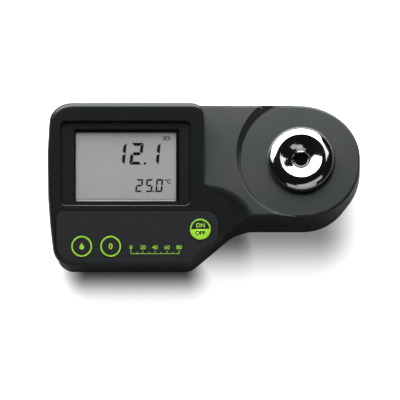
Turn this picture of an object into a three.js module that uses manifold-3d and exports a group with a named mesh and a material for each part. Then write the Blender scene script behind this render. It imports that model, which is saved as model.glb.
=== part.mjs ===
// Digital refractometer: a sloped display and keypad block, and a sunken deck with a steel sample well.
// Millimetres. +X runs to the sample well, +Y away from the user, +Z up. The feet stand on z = 0.
import * as THREE from 'three';
import * as BufferGeometryUtils from 'three/addons/utils/BufferGeometryUtils.js';
import Module from 'manifold-3d';

const wasm = await Module();
wasm.setup();

// Overall sizes
const width = 102;
const blockLength = 97.8;
const headReach = 94.2;
const footStand = 1;
const deckDrop = 2;
const wall = 2.2;
const faceWall = 3.4;
const wallDraftAngle = 1;
const backLeanAngle = 12.5;
const leanStart = 10;

// Sloped display and keypad block
const faceRun = 45.8;
const faceAngle = 20.5;
const blockEndTaper = 1.5;
const blockEndRadius = 8.6;
const caseCornerRadius = 12;
const frontCornerSetback = 7.9;
const diagonalAngle = 41.2;
const neckStartShare = 0.25;
const frontLeftInset = 5.2;
const backLeftInset = 2.6;
const sideBow = 1.6;
const sideBowLevel = 4;
const frontRim = 2.5;
const sideRim = 2.8;
const backRim = 3.8;
const stepRim = 1.2;
const innerRim = 0.8;

// Neck and well head
const headWidth = 76.3;
const headFrontRadius = 35;
const headBackRadius = 38;
const neckFillet = 20;
const neckRim = 1.2;
const headRim = 1.3;
const hiddenCorner = 5;
const buriedAngle = 55;
const rampInset = 1.8;
const rampFromFront = 11;
const rampShortfall = 1.3;
const rampAngle = 33;
const rampDepth = 20;
const wellFromEnd = 36.4;
const wellFromBack = 39.4;
const bandRadius = 36.8;
const bandFlare = 3.4;
const bandOverrun = 1;

// Lower case
const lowerTaper = 5;
const lowerEdgeRadius = 3;
const floorThickness = 2.4;
const gasketThickness = 0.4;
const gasketInset = 0.5;
const gasketWidth = 1.2;
const seatGap = 0.2;

// Clearances shared by every cut piece
const gap = 0.3;
const overrun = 5;
const weldLength = 0.01;

// Display window and display
const windowLeftMargin = 8.5;
const windowRightMargin = 9.8;
const windowBackMargin = 11.5;
const windowCorner = 3.7;
const windowRecess = 2.2;
const windowThickness = 1;
const windowLedge = 1.8;
const viewSideBorder = 8.6;
const viewFrontBorder = 2.2;
const viewBackBorder = 6.1;
const viewCorner = 0.8;
const frameLip = 1;
const frameWall = 2;
const glassMargin = 2;
const glassThickness = 2.6;
const zebraWidth = 2.4;

// Keypad
const keypadLeftMargin = 6;
const keypadRightReach = 7.3;
const keypadFrontMargin = 1.9;
const keypadHeight = 30.7;
const keypadWindowGap = 4;
const keypadBackCorner = 4;
const keypadEndCorner = 7;
const keypadFrontCorner = 10;
const keypadDiagonalRise = 16.6;
const keypadDiagonalRun = 17.4;
const keypadRecess = 2.6;
const keypadBacking = 1.4;
const filmThickness = 0.3;
const overlayThickness = 0.55;
const keyDiameter = 13.1;
const keyCrown = 0.3;
const keyTravel = 0.4;
const keyFromLeft = 15.5;
const keyPitch = 17.7;
const keyFromFront = 9.5;
const powerFromEnd = 11.1;
const powerFromBack = 10.7;
const domeDiameter = 9;
const domeHeight = 0.35;
const domeSheet = 0.15;
const tailWidth = 12;
const tailFromLeft = 44;
const tailSetback = 1.5;

// Boards
const boardDrop = 12;
const boardThickness = 1.6;
const boardLeftMargin = 6;
const boardRightMargin = 5.8;
const boardBackMargin = 14.3;
const boardFrontReach = 7.3;
const boardClearance = 0.4;
const boardBossRadius = 2.6;
const boardBossEdge = 3.5;
const boardBossFront = 5.5;
const boardBossBack = 3.5;
const boardScrewRadius = 1;
const chipThickness = 1.5;
const chipSide = 12;
const driverLength = 22;
const driverWidth = 4;
const connectorHeight = 4;
const connectorDepth = 5;
const connectorLength = 9;

// Sample well
const wellRadius = 20.7;
const wellDomeWidth = 7.7;
const wellHeight = 7;
const wellFlange = 1;
const wellSeatWidth = 5.2;
const skirtDepth = 7;
const sealThickness = 0.5;
const sealProud = 0.3;
const prismRadius = 3.95;
const prismPocketRadius = 7;
const prismShoulder = 2.5;
const prismWidth = 10;
const prismFoot = 5;
const prismDepth = 6;
const prismLength = 8;
const prismSealWidth = 1.3;
const prismSealThickness = 0.4;

// Optics under the well
const opticsFlange = 3.4;
const opticsDepth = 19;
const opticsWaist = 16;
const opticsReach = 22;
const opticsElbow = 7;
const opticsFoot = 12;
const opticsChamberRadius = 6;
const opticsBoreRadius = 3.4;
const opticsBoardLength = 13;
const opticsBoardThickness = 1.2;
const lampRadius = 2.5;
const lampLength = 5;
const lensRadius = 3;
const lensThickness = 2;
const lensCurve = 0.8;
const lensShoulderShare = 0.75;
const lensSetback = 8;
const sensorLength = 5;
const sensorWidth = 4;
const sensorThickness = 1.5;
const opticsScrewMargin = 3;
const opticsScrewRadius = 1.25;
const opticsScrewHeadRadius = 2.2;
const opticsScrewRoom = 0.6;
const opticsScrewAngles = [60, 120, 240, 300];
const probeMargin = 4.5;
const probeRadius = 1.2;
const probeRise = 4;
const cableRadius = 1.3;

// Battery bay, centred under the display block
const bayFromLeft = 51;
const bayY = 2;
const bayRadius = 29.8;
const bayWall = 1.8;
const bayRoof = 1.6;
const bayHeadroom = 1.2;
const batteryLength = 46.4;
const batteryWidth = 26.5;
const batteryHeight = 17.5;
const batteryShift = 2;
const batteryCorner = 2.5;
const terminalRadius = 3;
const terminalHeight = 2.1;
const terminalPitch = 12.7;
const clipThickness = 4.8;
const clipWidth = 24;
const leadRadius = 1.2;
const coverRadius = 31;
const coverThickness = 2.3;
const coverSpigotRadius = 26.6;
const ledgeRadius = 27.3;
const ledgeThickness = 2;
const lugThickness = 1.8;
const lugRadius = 29.4;
const lugWidth = 10;
const lugCount = 3;
const notchSide = 1;
const coverTurn = 40;
const gripLength = 40;
const gripWidth = 7;
const gripDepth = 1.4;
const ringSection = 0.8;

// Ribs, feet, case bosses and screws
const ribThickness = 1.2;
const ribDepth = 5;
const ribCount = 8;
const footRadius = 6;
const footSeat = 1.2;
const footInset = 17.5;
const footFrontInset = 14;
const headFootCircle = 22;
const screwInset = 11;
const frontScrewInset = 15;
const endScrewCircle = 25;
const bossRadius = 4;
const screwRadius = 1.5;
const screwHeadRadius = 2.8;
const screwHeadHeight = 2;
const counterboreDepth = 17;
const screwLength = 14.5;
const screwClearance = 0.35;

// Stations down the bowl's wall, from the crest inwards
const bowlShares = [0.12, 0.35, 0.65];
const bowlCurve = 1.5;

// Facet counts and angles
const fullTurn = 2 * Math.PI;
const fullCircle = 360;
const quarterTurn = Math.PI / 2;
const cornerStep = Math.PI / 14;
const rimSteps = 3;
const domeSteps = 5;
const settlePasses = 12;
const wireSteps = 14;
const wireSegments = 4;
const roundSides = 24;
const wellSides = 32;
const smallSides = 10;

// Places worked out from the sizes above
const degrees = Math.PI / 180;
const length = blockLength + headReach;
const left = -length / 2;
const right = length / 2;
const front = -width / 2;
const back = width / 2;
const blockEnd = left + blockLength;
const faceTilt = faceAngle * degrees;
const faceSlope = Math.tan(faceTilt);
const leanSlope = Math.tan(backLeanAngle * degrees);
const draftSlope = Math.tan(wallDraftAngle * degrees);
const faceCrossY = front + faceRun;
const floorTop = footStand + floorThickness;
const headFront = back - headWidth;
const frontCornerX = blockEnd - frontCornerSetback;
const diagonalSlope = Math.tan(diagonalAngle * degrees);
const neckCornerX = frontCornerX + (headFront - front) / diagonalSlope;
const wellX = right - wellFromEnd;
const wellY = back - wellFromBack;
const wellPlace = { x: wellX, y: wellY };
const wellCrestRadius = wellRadius - wellDomeWidth;
const skirtRadius = wellRadius - wellSeatWidth;
const opticsScrewCircle = skirtRadius - opticsScrewMargin;
const probeCircle = skirtRadius - probeMargin;
const opticsScrewSide = opticsScrewCircle * Math.sin(opticsScrewAngles[0] * degrees);
const opticsWidth = 2 * (opticsScrewSide - opticsScrewHeadRadius - opticsScrewRoom);
const rampX = blockEnd - rampInset;
const rampY = front + rampFromFront;
const rampRadius = faceRun - rampFromFront - rampShortfall;
const rampSlope = Math.tan(rampAngle * degrees);
const bayX = left + bayFromLeft;

// Heights: the lower case is as deep as the battery bay, and the face as high as the board under it
const ledgeBottom = footStand + coverThickness + gap;
const ledgeTop = ledgeBottom + ledgeThickness;
const lugBottom = ledgeTop + gap;
const batteryBottom = lugBottom + lugThickness + gap;
const bayCeiling = batteryBottom + batteryHeight + gap;
const lowerTop = bayCeiling + bayRoof + bayHeadroom;
const seamHeight = lowerTop + seatGap + gasketThickness / 2;
const upperBase = seamHeight + gasketThickness / 2 + seatGap;
const faceFront = -faceRun / Math.cos(faceTilt);
const keypadFront = faceFront + keypadFrontMargin;
const keypadBack = keypadFront + keypadHeight;
const boardFront = keypadBack - boardFrontReach;
const neckHeight = lowerTop + boardClearance
  + (boardDrop + boardThickness) * Math.cos(faceTilt) - boardFront * Math.sin(faceTilt);
const deckHeight = neckHeight - deckDrop;

// Edges along the sloped face, measured up the slope from where it reaches neck level
const faceRise = faceRun * faceSlope + overrun;
const clearOfCase = neckHeight + width * faceSlope;
const backTopY = (back - leanSlope * (neckHeight - seamHeight - faceCrossY * faceSlope))
  / (1 + leanSlope * faceSlope);
const faceBack = (backTopY - faceCrossY) / Math.cos(faceTilt);
const keypadLeft = left + keypadLeftMargin;
const keypadRight = blockEnd + keypadRightReach;
const windowArea = {
  left: left + windowLeftMargin,
  right: blockEnd - windowRightMargin,
  front: keypadBack + keypadWindowGap,
  back: faceBack - windowBackMargin,
};
const viewArea = {
  left: windowArea.left + viewSideBorder,
  right: windowArea.right - viewSideBorder,
  front: windowArea.front + viewFrontBorder,
  back: windowArea.back - viewBackBorder,
};
const boardTop = -boardDrop;
const boardArea = {
  left: left + boardLeftMargin,
  right: blockEnd - boardRightMargin,
  front: boardFront,
  back: faceBack - boardBackMargin,
};

// Solids: meshes become watertight solids to be joined and cut, and go back to buffer geometry

function toSolid(geometry) {
  const bare = new THREE.BufferGeometry();
  bare.setAttribute('position', geometry.getAttribute('position'));
  bare.setIndex(geometry.getIndex());
  const merged = BufferGeometryUtils.mergeVertices(bare);
  const index = merged.getIndex().array;
  const triangles = [];
  for (let i = 0; i < index.length; i += 3) {
    const [a, b, c] = [index[i], index[i + 1], index[i + 2]];
    if (a !== b && b !== c && c !== a) triangles.push(a, b, c);
  }
  return new wasm.Manifold(new wasm.Mesh({
    numProp: 3,
    vertProperties: new Float32Array(merged.getAttribute('position').array),
    triVerts: new Uint32Array(triangles),
  }));
}

function toGeometry(solid) {
  const { vertProperties, triVerts, numProp } = solid.asOriginal().simplify(weldLength).getMesh();
  const positions = new Float32Array((vertProperties.length / numProp) * 3);
  for (let i = 0; i < positions.length / 3; i += 1) {
    for (let k = 0; k < 3; k += 1) positions[3 * i + k] = vertProperties[numProp * i + k];
  }
  const geometry = new THREE.BufferGeometry();
  geometry.setAttribute('position', new THREE.BufferAttribute(positions, 3));
  geometry.setIndex(Array.from(triVerts));
  geometry.computeVertexNormals();
  return geometry;
}

function join(first, ...others) {
  return others.reduce((sum, solid) => sum.add(solid), first);
}

function cut(first, ...others) {
  return others.reduce((rest, solid) => rest.subtract(solid), first);
}

// Basic shapes, standing on z = low

function disc(radius, low, high, sides = roundSides, topRadius = radius) {
  const geometry = new THREE.CylinderGeometry(topRadius, radius, high - low, sides);
  return geometry.rotateX(quarterTurn).translate(0, 0, (low + high) / 2);
}

function block(low, high) {
  const size = new THREE.Vector3().subVectors(high, low);
  const middle = new THREE.Vector3().addVectors(high, low).multiplyScalar(1 / 2);
  return new THREE.BoxGeometry(size.x, size.y, size.z).translate(middle.x, middle.y, middle.z);
}

function at(x, y, z) {
  return new THREE.Vector3(x, y, z);
}

function turned(profile, sides = roundSides) {
  const points = profile.map(([radius, height]) => new THREE.Vector2(radius, height));
  if (profile[0][0] > 0) points.push(points[0].clone());
  return new THREE.LatheGeometry(points, sides).rotateX(quarterTurn);
}

function slab(outline, low, high) {
  const shape = new THREE.Shape(outline.map((p) => new THREE.Vector2(p.x, p.y)));
  const options = { depth: high - low, bevelEnabled: false, steps: 1 };
  return new THREE.ExtrudeGeometry(shape, options).translate(0, 0, low);
}

// An outline is a ring of corners, each rounded by its own radius, walked anticlockwise.
// Each point keeps its outward normal, so that the outline can be drawn in for walls and rims.

function cornerTurn(before, corner, after) {
  const into = new THREE.Vector2(corner.x - before.x, corner.y - before.y).normalize();
  const out = new THREE.Vector2(after.x - corner.x, after.y - corner.y).normalize();
  const turn = Math.atan2(into.cross(out), into.dot(out));
  const radius = corner.reach ? corner.reach / (1 / Math.cos(turn / 2) - 1) : corner.radius;
  return { into, turn, radius, tangent: radius * Math.tan(Math.abs(turn) / 2) };
}

// Two fillets that would meet along a short edge are limited by its length
function edgeShare(from, fromTangent, to, toTangent) {
  return Math.min(1, Math.hypot(to.x - from.x, to.y - from.y) / (fromTangent + toTangent));
}

function roundCorner(corner, { into, turn, radius, tangent }) {
  const side = Math.sign(turn);
  const startNormal = new THREE.Vector2(into.y, -into.x);
  const centre = new THREE.Vector2(corner.x, corner.y)
    .addScaledVector(into, -tangent)
    .addScaledVector(startNormal, -side * radius);
  const steps = corner.steps ?? Math.max(2, Math.ceil(Math.abs(turn) / cornerStep));
  const points = [];
  for (let step = 0; step <= steps; step += 1) {
    const normal = startNormal.clone().rotateAround(new THREE.Vector2(), (turn * step) / steps);
    const point = centre.clone().addScaledVector(normal, side * radius);
    points.push({ x: point.x, y: point.y, normal, rim: corner.rim ?? 0 });
  }
  return points;
}

function roundedOutline(corners) {
  const count = corners.length;
  const turns = corners.map((corner, i) => (
    cornerTurn(corners[(i + count - 1) % count], corner, corners[(i + 1) % count])
  ));
  const shares = corners.map((corner, i) => {
    const next = (i + 1) % count;
    return edgeShare(corner, turns[i].tangent, corners[next], turns[next].tangent);
  });
  return corners.flatMap((corner, i) => {
    const share = Math.min(shares[i], shares[(i + count - 1) % count]);
    const { into, turn, radius, tangent } = turns[i];
    return roundCorner(corner, { into, turn, radius: radius * share, tangent: tangent * share });
  });
}

function drawnIn(outline, inset) {
  return outline.map((p) => ({ x: p.x - p.normal.x * inset, y: p.y - p.normal.y * inset, normal: p.normal }));
}

function roundedRectangle(area, radius) {
  return roundedOutline([
    { x: area.left, y: area.front, radius },
    { x: area.right, y: area.front, radius },
    { x: area.right, y: area.back, radius },
    { x: area.left, y: area.back, radius },
  ]);
}

function grown(area, by) {
  return { left: area.left - by, right: area.right + by, front: area.front - by, back: area.back + by };
}

// A loft joins rings of equal length, lowest first, and closes them with flat ends

function loft(rings) {
  const count = rings[0].length;
  const positions = rings.flat().flatMap((p) => [p.x, p.y, p.z]);
  const index = [];
  for (let ring = 0; ring + 1 < rings.length; ring += 1) {
    for (let i = 0; i < count; i += 1) {
      const next = (i + 1) % count;
      const [a, b] = [ring * count + i, ring * count + next];
      index.push(a, b, b + count, a, b + count, a + count);
    }
  }
  for (const [ring, flip] of [[0, true], [rings.length - 1, false]]) {
    const contour = rings[ring].map((p) => new THREE.Vector2(p.x, p.y));
    for (const [a, b, c] of THREE.ShapeUtils.triangulateShape(contour, [])) {
      const face = flip ? [c, b, a] : [a, b, c];
      index.push(...face.map((i) => i + ring * count));
    }
  }
  const geometry = new THREE.BufferGeometry();
  geometry.setAttribute('position', new THREE.BufferAttribute(new Float32Array(positions), 3));
  geometry.setIndex(index);
  return geometry;
}

// The walls rise with a slight draft, and the back wall leans forward as it rises

function wallPoint(point, inset, height) {
  const rise = height - seamHeight;
  const lean = leanSlope * rise * Math.max(0, (point.y - leanStart) / (back - leanStart));
  const inward = inset + draftSlope * rise;
  return at(point.x - point.normal.x * inward, point.y - lean - point.normal.y * inward, height);
}

function settledPoint(point, inset, heightAt) {
  let place = wallPoint(point, inset, seamHeight);
  for (let pass = 0; pass < settlePasses; pass += 1) {
    place = wallPoint(point, inset, heightAt(place.y));
  }
  place.z = heightAt(place.y);
  return place;
}

function risingLoft(corners, heightAt, inset) {
  const outline = roundedOutline(corners);
  const base = inset > 0 ? upperBase - overrun : upperBase;
  const steps = inset > 0 ? 1 : rimSteps;
  const rings = [outline.map((p) => wallPoint(p, inset, base))];
  for (let step = 0; step <= steps; step += 1) {
    const angle = (quarterTurn * step) / steps;
    rings.push(outline.map((p) => {
      const rim = Math.max(p.rim - inset, innerRim);
      const drop = rim * (1 - Math.sin(angle));
      return settledPoint(p, inset + rim * (1 - Math.cos(angle)), (y) => heightAt(y) - drop);
    }));
  }
  return toSolid(loft(rings));
}

function faceHeightAt(depth) {
  return (y) => neckHeight + (y - faceCrossY) * faceSlope - depth / Math.cos(faceTilt);
}

function levelAt(height) {
  return () => height;
}

// Corners of the case, seen from above

const frontLeft = { x: left + frontLeftInset, y: front, radius: caseCornerRadius, rim: frontRim };
const frontMiddle = { x: frontCornerX, y: front, radius: caseCornerRadius, rim: frontRim };
const neckFront = { x: neckCornerX, y: headFront, radius: neckFillet, rim: neckRim };
const headFrontEnd = { x: right, y: headFront, radius: headFrontRadius, rim: headRim };
const headBackEnd = { x: right, y: back, radius: headBackRadius, rim: headRim };
const backLeft = { x: left + backLeftInset, y: back, radius: caseCornerRadius, rim: backRim };
const bowedSide = { x: left - sideBow, y: sideBowLevel, reach: sideBow, rim: sideRim, steps: 6 };
const caseCorners = [frontLeft, frontMiddle, neckFront, headFrontEnd, headBackEnd, backLeft, bowedSide];

function onDiagonal(x) {
  return { x, y: front + (x - frontCornerX) * diagonalSlope };
}

function hidden(x, y, radius = hiddenCorner) {
  return { x, y, radius, rim: stepRim, steps: 2 };
}

// Ends of the block's floor that lie buried beyond the foot of the ramp
const buriedRadius = rampRadius + rampShortfall;
const buriedX = rampX + buriedRadius * Math.cos(buriedAngle * degrees);
const buriedY = rampY + buriedRadius * Math.sin(buriedAngle * degrees);

const blockCorners = [
  frontLeft,
  frontMiddle,
  hidden(buriedX, onDiagonal(buriedX).y),
  hidden(buriedX, buriedY),
  hidden(blockEnd, rampY + rampRadius - rampShortfall / 2, innerRim),
  { x: blockEnd - blockEndTaper, y: back, radius: blockEndRadius, rim: sideRim },
  backLeft,
  bowedSide,
];

const neckStart = onDiagonal(frontCornerX + (neckCornerX - frontCornerX) * neckStartShare);
const neckCorners = [
  hidden(neckStart.x, neckStart.y),
  neckFront,
  hidden(wellX, headFront),
  hidden(wellX, back),
  hidden(blockEnd - hiddenCorner * 3, back),
  hidden(blockEnd - hiddenCorner * 3, rampY + rampRadius / 2),
];

const headCorners = [
  hidden(neckCornerX + hiddenCorner, headFront),
  headFrontEnd,
  headBackEnd,
  hidden(wellX - bandRadius - bandFlare * 2, back),
];

// Cones that carve the ramp up to the neck and the band round the deck.
// A margin draws them back from the surface, for the hollow inside.

function rampCone(margin) {
  const top = rampRadius + margin / Math.sin(rampAngle * degrees);
  const foot = top - rampDepth / rampSlope;
  const mouth = top + overrun / rampSlope;
  const low = neckHeight - rampDepth;
  const cone = disc(Math.max(foot, gap), low, neckHeight + overrun, roundSides, mouth);
  return toSolid(cone.translate(rampX, rampY, 0));
}

function bandCone(margin) {
  const spread = bandFlare / deckDrop;
  const low = deckHeight - bandOverrun;
  const high = neckHeight + overrun;
  const foot = bandRadius + margin - bandOverrun * spread;
  const mouth = bandRadius + margin + (high - deckHeight) * spread;
  return toSolid(disc(foot, low, high, wellSides, mouth).translate(wellX, wellY, -margin));
}

// Whatever of the neck would stand above the sloped face is taken off before the two are joined
function neckTrim(inset, depth) {
  return onFace(block(
    at(left, faceFront, -depth - gap),
    at(blockEnd - stepRim - inset, gap, faceRise),
  ));
}

function upperMass(inset) {
  const depth = inset > 0 ? faceWall : 0;
  const display = risingLoft(blockCorners, faceHeightAt(depth), inset);
  const neck = risingLoft(neckCorners, levelAt(neckHeight - inset), inset);
  const head = risingLoft(headCorners, levelAt(deckHeight - inset), inset);
  return join(display, cut(neck, rampCone(inset), bandCone(inset), neckTrim(inset, depth)), head);
}

// Frames of reference: the sloped face, the sample well and the battery bay

const facePlace = new THREE.Matrix4().makeRotationX(faceTilt).setPosition(0, faceCrossY, neckHeight);

function onFace(geometry) {
  return toSolid(geometry.applyMatrix4(facePlace));
}

function areaSlab(area, radius, low, high) {
  return slab(roundedRectangle(area, radius), low, high);
}

const keypadCorners = [
  { x: keypadLeft, y: keypadFront, radius: keypadFrontCorner },
  { x: keypadRight - keypadDiagonalRun, y: keypadFront, radius: keypadBackCorner },
  { x: keypadRight, y: keypadFront + keypadDiagonalRise, radius: keypadBackCorner },
  { x: keypadRight, y: keypadBack, radius: keypadEndCorner },
  { x: keypadLeft, y: keypadBack, radius: keypadBackCorner },
];
const keypadOutline = roundedOutline(keypadCorners);

const keyPlaces = {
  read: { x: keypadLeft + keyFromLeft, y: keypadFront + keyFromFront },
  zero: { x: keypadLeft + keyFromLeft + keyPitch, y: keypadFront + keyFromFront },
  power: { x: keypadRight - powerFromEnd, y: keypadBack - powerFromBack },
};

const boardScrewPlaces = [
  { x: boardArea.left + boardBossEdge, y: boardArea.front + boardBossFront },
  { x: boardArea.left + boardBossEdge, y: boardArea.back - boardBossBack },
  { x: boardArea.right - boardBossEdge, y: boardArea.front + boardBossFront },
  { x: boardArea.right - boardBossEdge, y: boardArea.back - boardBossBack },
];

// Case screws stand clear of the feet, the battery bay and the optics
const bayClear = bayRadius + bayWall + bossRadius;
const caseScrewPlaces = [
  { x: bayX - frontScrewInset, y: front + screwInset },
  { x: bayX - frontScrewInset, y: back - screwInset },
  { x: bayX + bayClear, y: front + frontScrewInset },
  { x: blockEnd + screwInset / 2, y: back - frontScrewInset },
  { x: wellX + endScrewCircle * Math.SQRT1_2, y: wellY - endScrewCircle * Math.SQRT1_2 },
  { x: wellX - endScrewCircle * Math.SQRT1_2, y: wellY + endScrewCircle * Math.SQRT1_2 },
];

// Feet stand at the corners of the flat underside
const footPlaces = [
  { x: left + footInset, y: front + footFrontInset },
  { x: left + footInset, y: back - footFrontInset },
  { x: wellX, y: wellY - headFootCircle },
  { x: wellX + headFootCircle * Math.SQRT1_2, y: wellY + headFootCircle * Math.SQRT1_2 },
];

const screwSeat = footStand + counterboreDepth;
const bossBoreTop = screwSeat + screwLength + gap;

function placed(geometry, place) {
  return toSolid(geometry.translate(place.x, place.y, 0));
}

// Upper case: one moulding with a drafted outer skin, an even wall, recesses, bores and bosses

function keypadBed(outer) {
  const outline = drawnIn(keypadOutline, -keypadBacking);
  const bed = onFace(slab(outline, -keypadRecess - keypadBacking, -faceWall + gap));
  return outer.intersect(bed);
}

function boardBoss(place) {
  const post = disc(boardBossRadius, boardTop + gap, -faceWall + gap, smallSides);
  return onFace(post.translate(place.x, place.y, 0));
}

function boardBossBore(place) {
  const bore = disc(boardScrewRadius + gap, boardTop - gap, -faceWall - gap, smallSides);
  return onFace(bore.translate(place.x, place.y, 0));
}

function upperBoss(place, outer) {
  return placed(disc(bossRadius, upperBase, clearOfCase, smallSides), place).intersect(outer);
}

function upperBossBore(place) {
  return placed(disc(screwRadius + screwClearance, seamHeight, bossBoreTop, smallSides), place);
}

function wellCollar(outer) {
  const height = deckHeight - wall - skirtDepth / 2;
  const collar = disc(skirtRadius + gap + wall, height, deckHeight, wellSides);
  return placed(collar, wellPlace).intersect(outer);
}

function deckRib(index, outer) {
  const inner = skirtRadius + gap + wall / 2;
  const top = deckHeight - wall / 2;
  const rib = block(
    at(inner, -ribThickness / 2, deckHeight - wall - ribDepth),
    at(bandRadius + wall, ribThickness / 2, top),
  );
  rib.rotateZ((fullTurn * (index + 1 / 2)) / ribCount).translate(wellX, wellY, 0);
  return toSolid(rib).intersect(outer);
}

function upperCase() {
  const outer = upperMass(0);
  const ribs = Array.from({ length: ribCount }, (_, index) => deckRib(index, outer));
  const shell = join(
    cut(outer, upperMass(wall)),
    keypadBed(outer),
    wellCollar(outer),
    ...ribs,
    ...boardScrewPlaces.map(boardBoss),
    ...caseScrewPlaces.map((place) => upperBoss(place, outer)),
  );
  const tail = tailSlot();
  return cut(
    shell,
    onFace(areaSlab(windowArea, windowCorner, -windowRecess, overrun)),
    onFace(areaSlab(grown(windowArea, -windowLedge), windowCorner - windowLedge, -overrun, overrun)),
    onFace(slab(drawnIn(keypadOutline, -gap), -keypadRecess, overrun)),
    onFace(block(
      at(tail.left - gap, tail.front - gap, -overrun),
      at(tail.right + gap, tail.back + gap, overrun),
    )),
    placed(disc(skirtRadius + gap, neckHeight - skirtDepth * 2, neckHeight, wellSides), wellPlace),
    ...boardScrewPlaces.map(boardBossBore),
    ...caseScrewPlaces.map(upperBossBore),
  );
}

// Lower case: tapers to a rounded bottom edge, and holds the battery bay

function taperAt(height) {
  return (lowerTaper * (seamHeight - height)) / (seamHeight - footStand);
}

function lowerRing(outline, inset, height) {
  const inward = inset + taperAt(height);
  return outline.map((p) => at(p.x - p.normal.x * inward, p.y - p.normal.y * inward, height));
}

function lowerMass(inset, low, high) {
  const outline = roundedOutline(caseCorners);
  const radius = Math.max(lowerEdgeRadius - inset, innerRim);
  const steps = inset > 0 ? 1 : rimSteps;
  const rings = [];
  for (let step = 0; step <= steps; step += 1) {
    const angle = (quarterTurn * step) / steps;
    const [inward, rise] = [radius * (1 - Math.sin(angle)), radius * (1 - Math.cos(angle))];
    rings.push(lowerRing(outline, inset + inward, low + rise));
  }
  rings.push(lowerRing(outline, inset, high));
  return toSolid(loft(rings));
}

const bay = { x: bayX, y: bayY };
const clipFrom = batteryLength / 2 - batteryShift + gap;
const lead = { x: bayX + clipFrom + clipThickness / 2, y: bayY };

function lugSector(radius, side, low, high) {
  const sweep = block(
    at(coverSpigotRadius - wall, -lugWidth / 2 - side, low),
    at(bayRadius + overrun, lugWidth / 2 + side, high),
  );
  return toSolid(sweep).intersect(toSolid(disc(radius, low - gap, high + gap)));
}

function lugNotches(turn) {
  return Array.from({ length: lugCount }, (_, index) => (
    lugSector(bayRadius, notchSide, ledgeBottom - gap, ledgeTop + gap)
      .rotate([0, 0, turn + (fullCircle * index) / lugCount]).translate([bay.x, bay.y, 0])
  ));
}

function bayShell() {
  return placed(disc(bayRadius + bayWall, footStand + gap, bayCeiling + bayRoof), bay);
}

function bayHollow() {
  return join(
    placed(disc(coverRadius + gap, footStand - overrun, ledgeBottom), bay),
    placed(disc(ledgeRadius, footStand, ledgeTop + gap), bay),
    placed(disc(bayRadius, ledgeTop, bayCeiling), bay),
    placed(disc(leadRadius + gap * 2, ledgeTop, seamHeight, smallSides), lead),
  );
}

function coverCollar() {
  return placed(disc(coverRadius + gap + wall, footStand + gap, ledgeTop), bay);
}

function lowerBoss(place) {
  return placed(disc(bossRadius, footStand + wall, lowerTop, smallSides), place);
}

function lowerBossBore(place) {
  return join(
    placed(disc(screwRadius + screwClearance, footStand, seamHeight, smallSides), place),
    placed(disc(screwHeadRadius + screwClearance, footStand - overrun, screwSeat, smallSides), place),
  );
}

function floorRib(x) {
  return toSolid(block(
    at(x - ribThickness / 2, front, floorTop - gap),
    at(x + ribThickness / 2, back, floorTop + ribDepth),
  ));
}

function footRecess(place) {
  return placed(disc(footRadius + gap, footStand - overrun, footStand + footSeat), place);
}

function lowerCase() {
  const outer = lowerMass(0, footStand, lowerTop);
  const hollow = lowerMass(wall, floorTop, seamHeight);
  const ribPlaces = [blockEnd, blockEnd + bossRadius * 3, wellX - wellRadius];
  const inside = join(
    bayShell(),
    coverCollar(),
    ...caseScrewPlaces.map(lowerBoss),
    ...ribPlaces.map(floorRib),
  ).intersect(lowerMass(wall / 2, footStand + gap, lowerTop));
  return cut(
    join(cut(outer, hollow), inside),
    bayHollow(),
    ...lugNotches(-coverTurn),
    ...caseScrewPlaces.map(lowerBossBore),
    ...footPlaces.map(footRecess),
  );
}

function caseGasket() {
  const outline = roundedOutline(caseCorners);
  const [low, high] = [seamHeight - gasketThickness / 2, seamHeight + gasketThickness / 2];
  return cut(
    toSolid(slab(drawnIn(outline, gasketInset), low, high)),
    toSolid(slab(drawnIn(outline, gasketInset + gasketWidth), low - gap, high + gap)),
  );
}

// Display: window, frame, glass and the elastomer strips that join it to the board

function displayWindow() {
  const low = -windowRecess + gap;
  return areaSlab(grown(windowArea, -gap), windowCorner - gap, low, low + windowThickness);
}

const frameTop = -faceWall - gap;
const glassTop = frameTop - frameLip - gap;
const glassBottom = glassTop - glassThickness;
const frameBottom = boardTop + gap;

function lcdFrame() {
  const outside = areaSlab(grown(viewArea, glassMargin + frameWall), frameWall, frameBottom, frameTop);
  const pocket = areaSlab(grown(viewArea, glassMargin + gap), viewCorner, frameBottom - gap, glassTop + gap);
  const opening = areaSlab(viewArea, viewCorner, frameBottom - gap, frameTop + gap);
  return cut(toSolid(outside), toSolid(pocket), toSolid(opening));
}

function lcdPanel() {
  return areaSlab(grown(viewArea, glassMargin), viewCorner, glassBottom, glassTop);
}

function zebraStrip(edge) {
  const [low, high] = [boardTop + gap, glassBottom - gap];
  return block(
    at(viewArea.left, edge - zebraWidth / 2, low),
    at(viewArea.right, edge + zebraWidth / 2, high),
  );
}

// Keypad: circuit film with its tail, spacer, snap domes, overlay and three keys

const filmLow = -keypadRecess + gap;
const filmHigh = filmLow + filmThickness;
const spacerLow = filmHigh + gap;
const spacerHigh = spacerLow + domeHeight + keyTravel;
const overlayLow = spacerHigh + gap;
const overlayHigh = overlayLow + overlayThickness;

function tailSlot() {
  const x = left + tailFromLeft;
  const y = keypadBack - tailSetback;
  return { left: x, right: x + tailWidth, front: y - filmThickness / 2, back: y + filmThickness / 2 };
}

function keypadCircuit() {
  const tail = tailSlot();
  const foot = boardTop + connectorHeight / 2;
  return join(
    toSolid(slab(drawnIn(keypadOutline, gap), filmLow, filmHigh)),
    toSolid(block(at(tail.left, tail.front, foot), at(tail.right, tail.back, filmLow + filmThickness / 2))),
  );
}

function keyHoles(diameter, low, high) {
  return Object.values(keyPlaces).map((place) => (
    placed(disc(diameter / 2, low, high, smallSides * 2), place)
  ));
}

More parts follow.
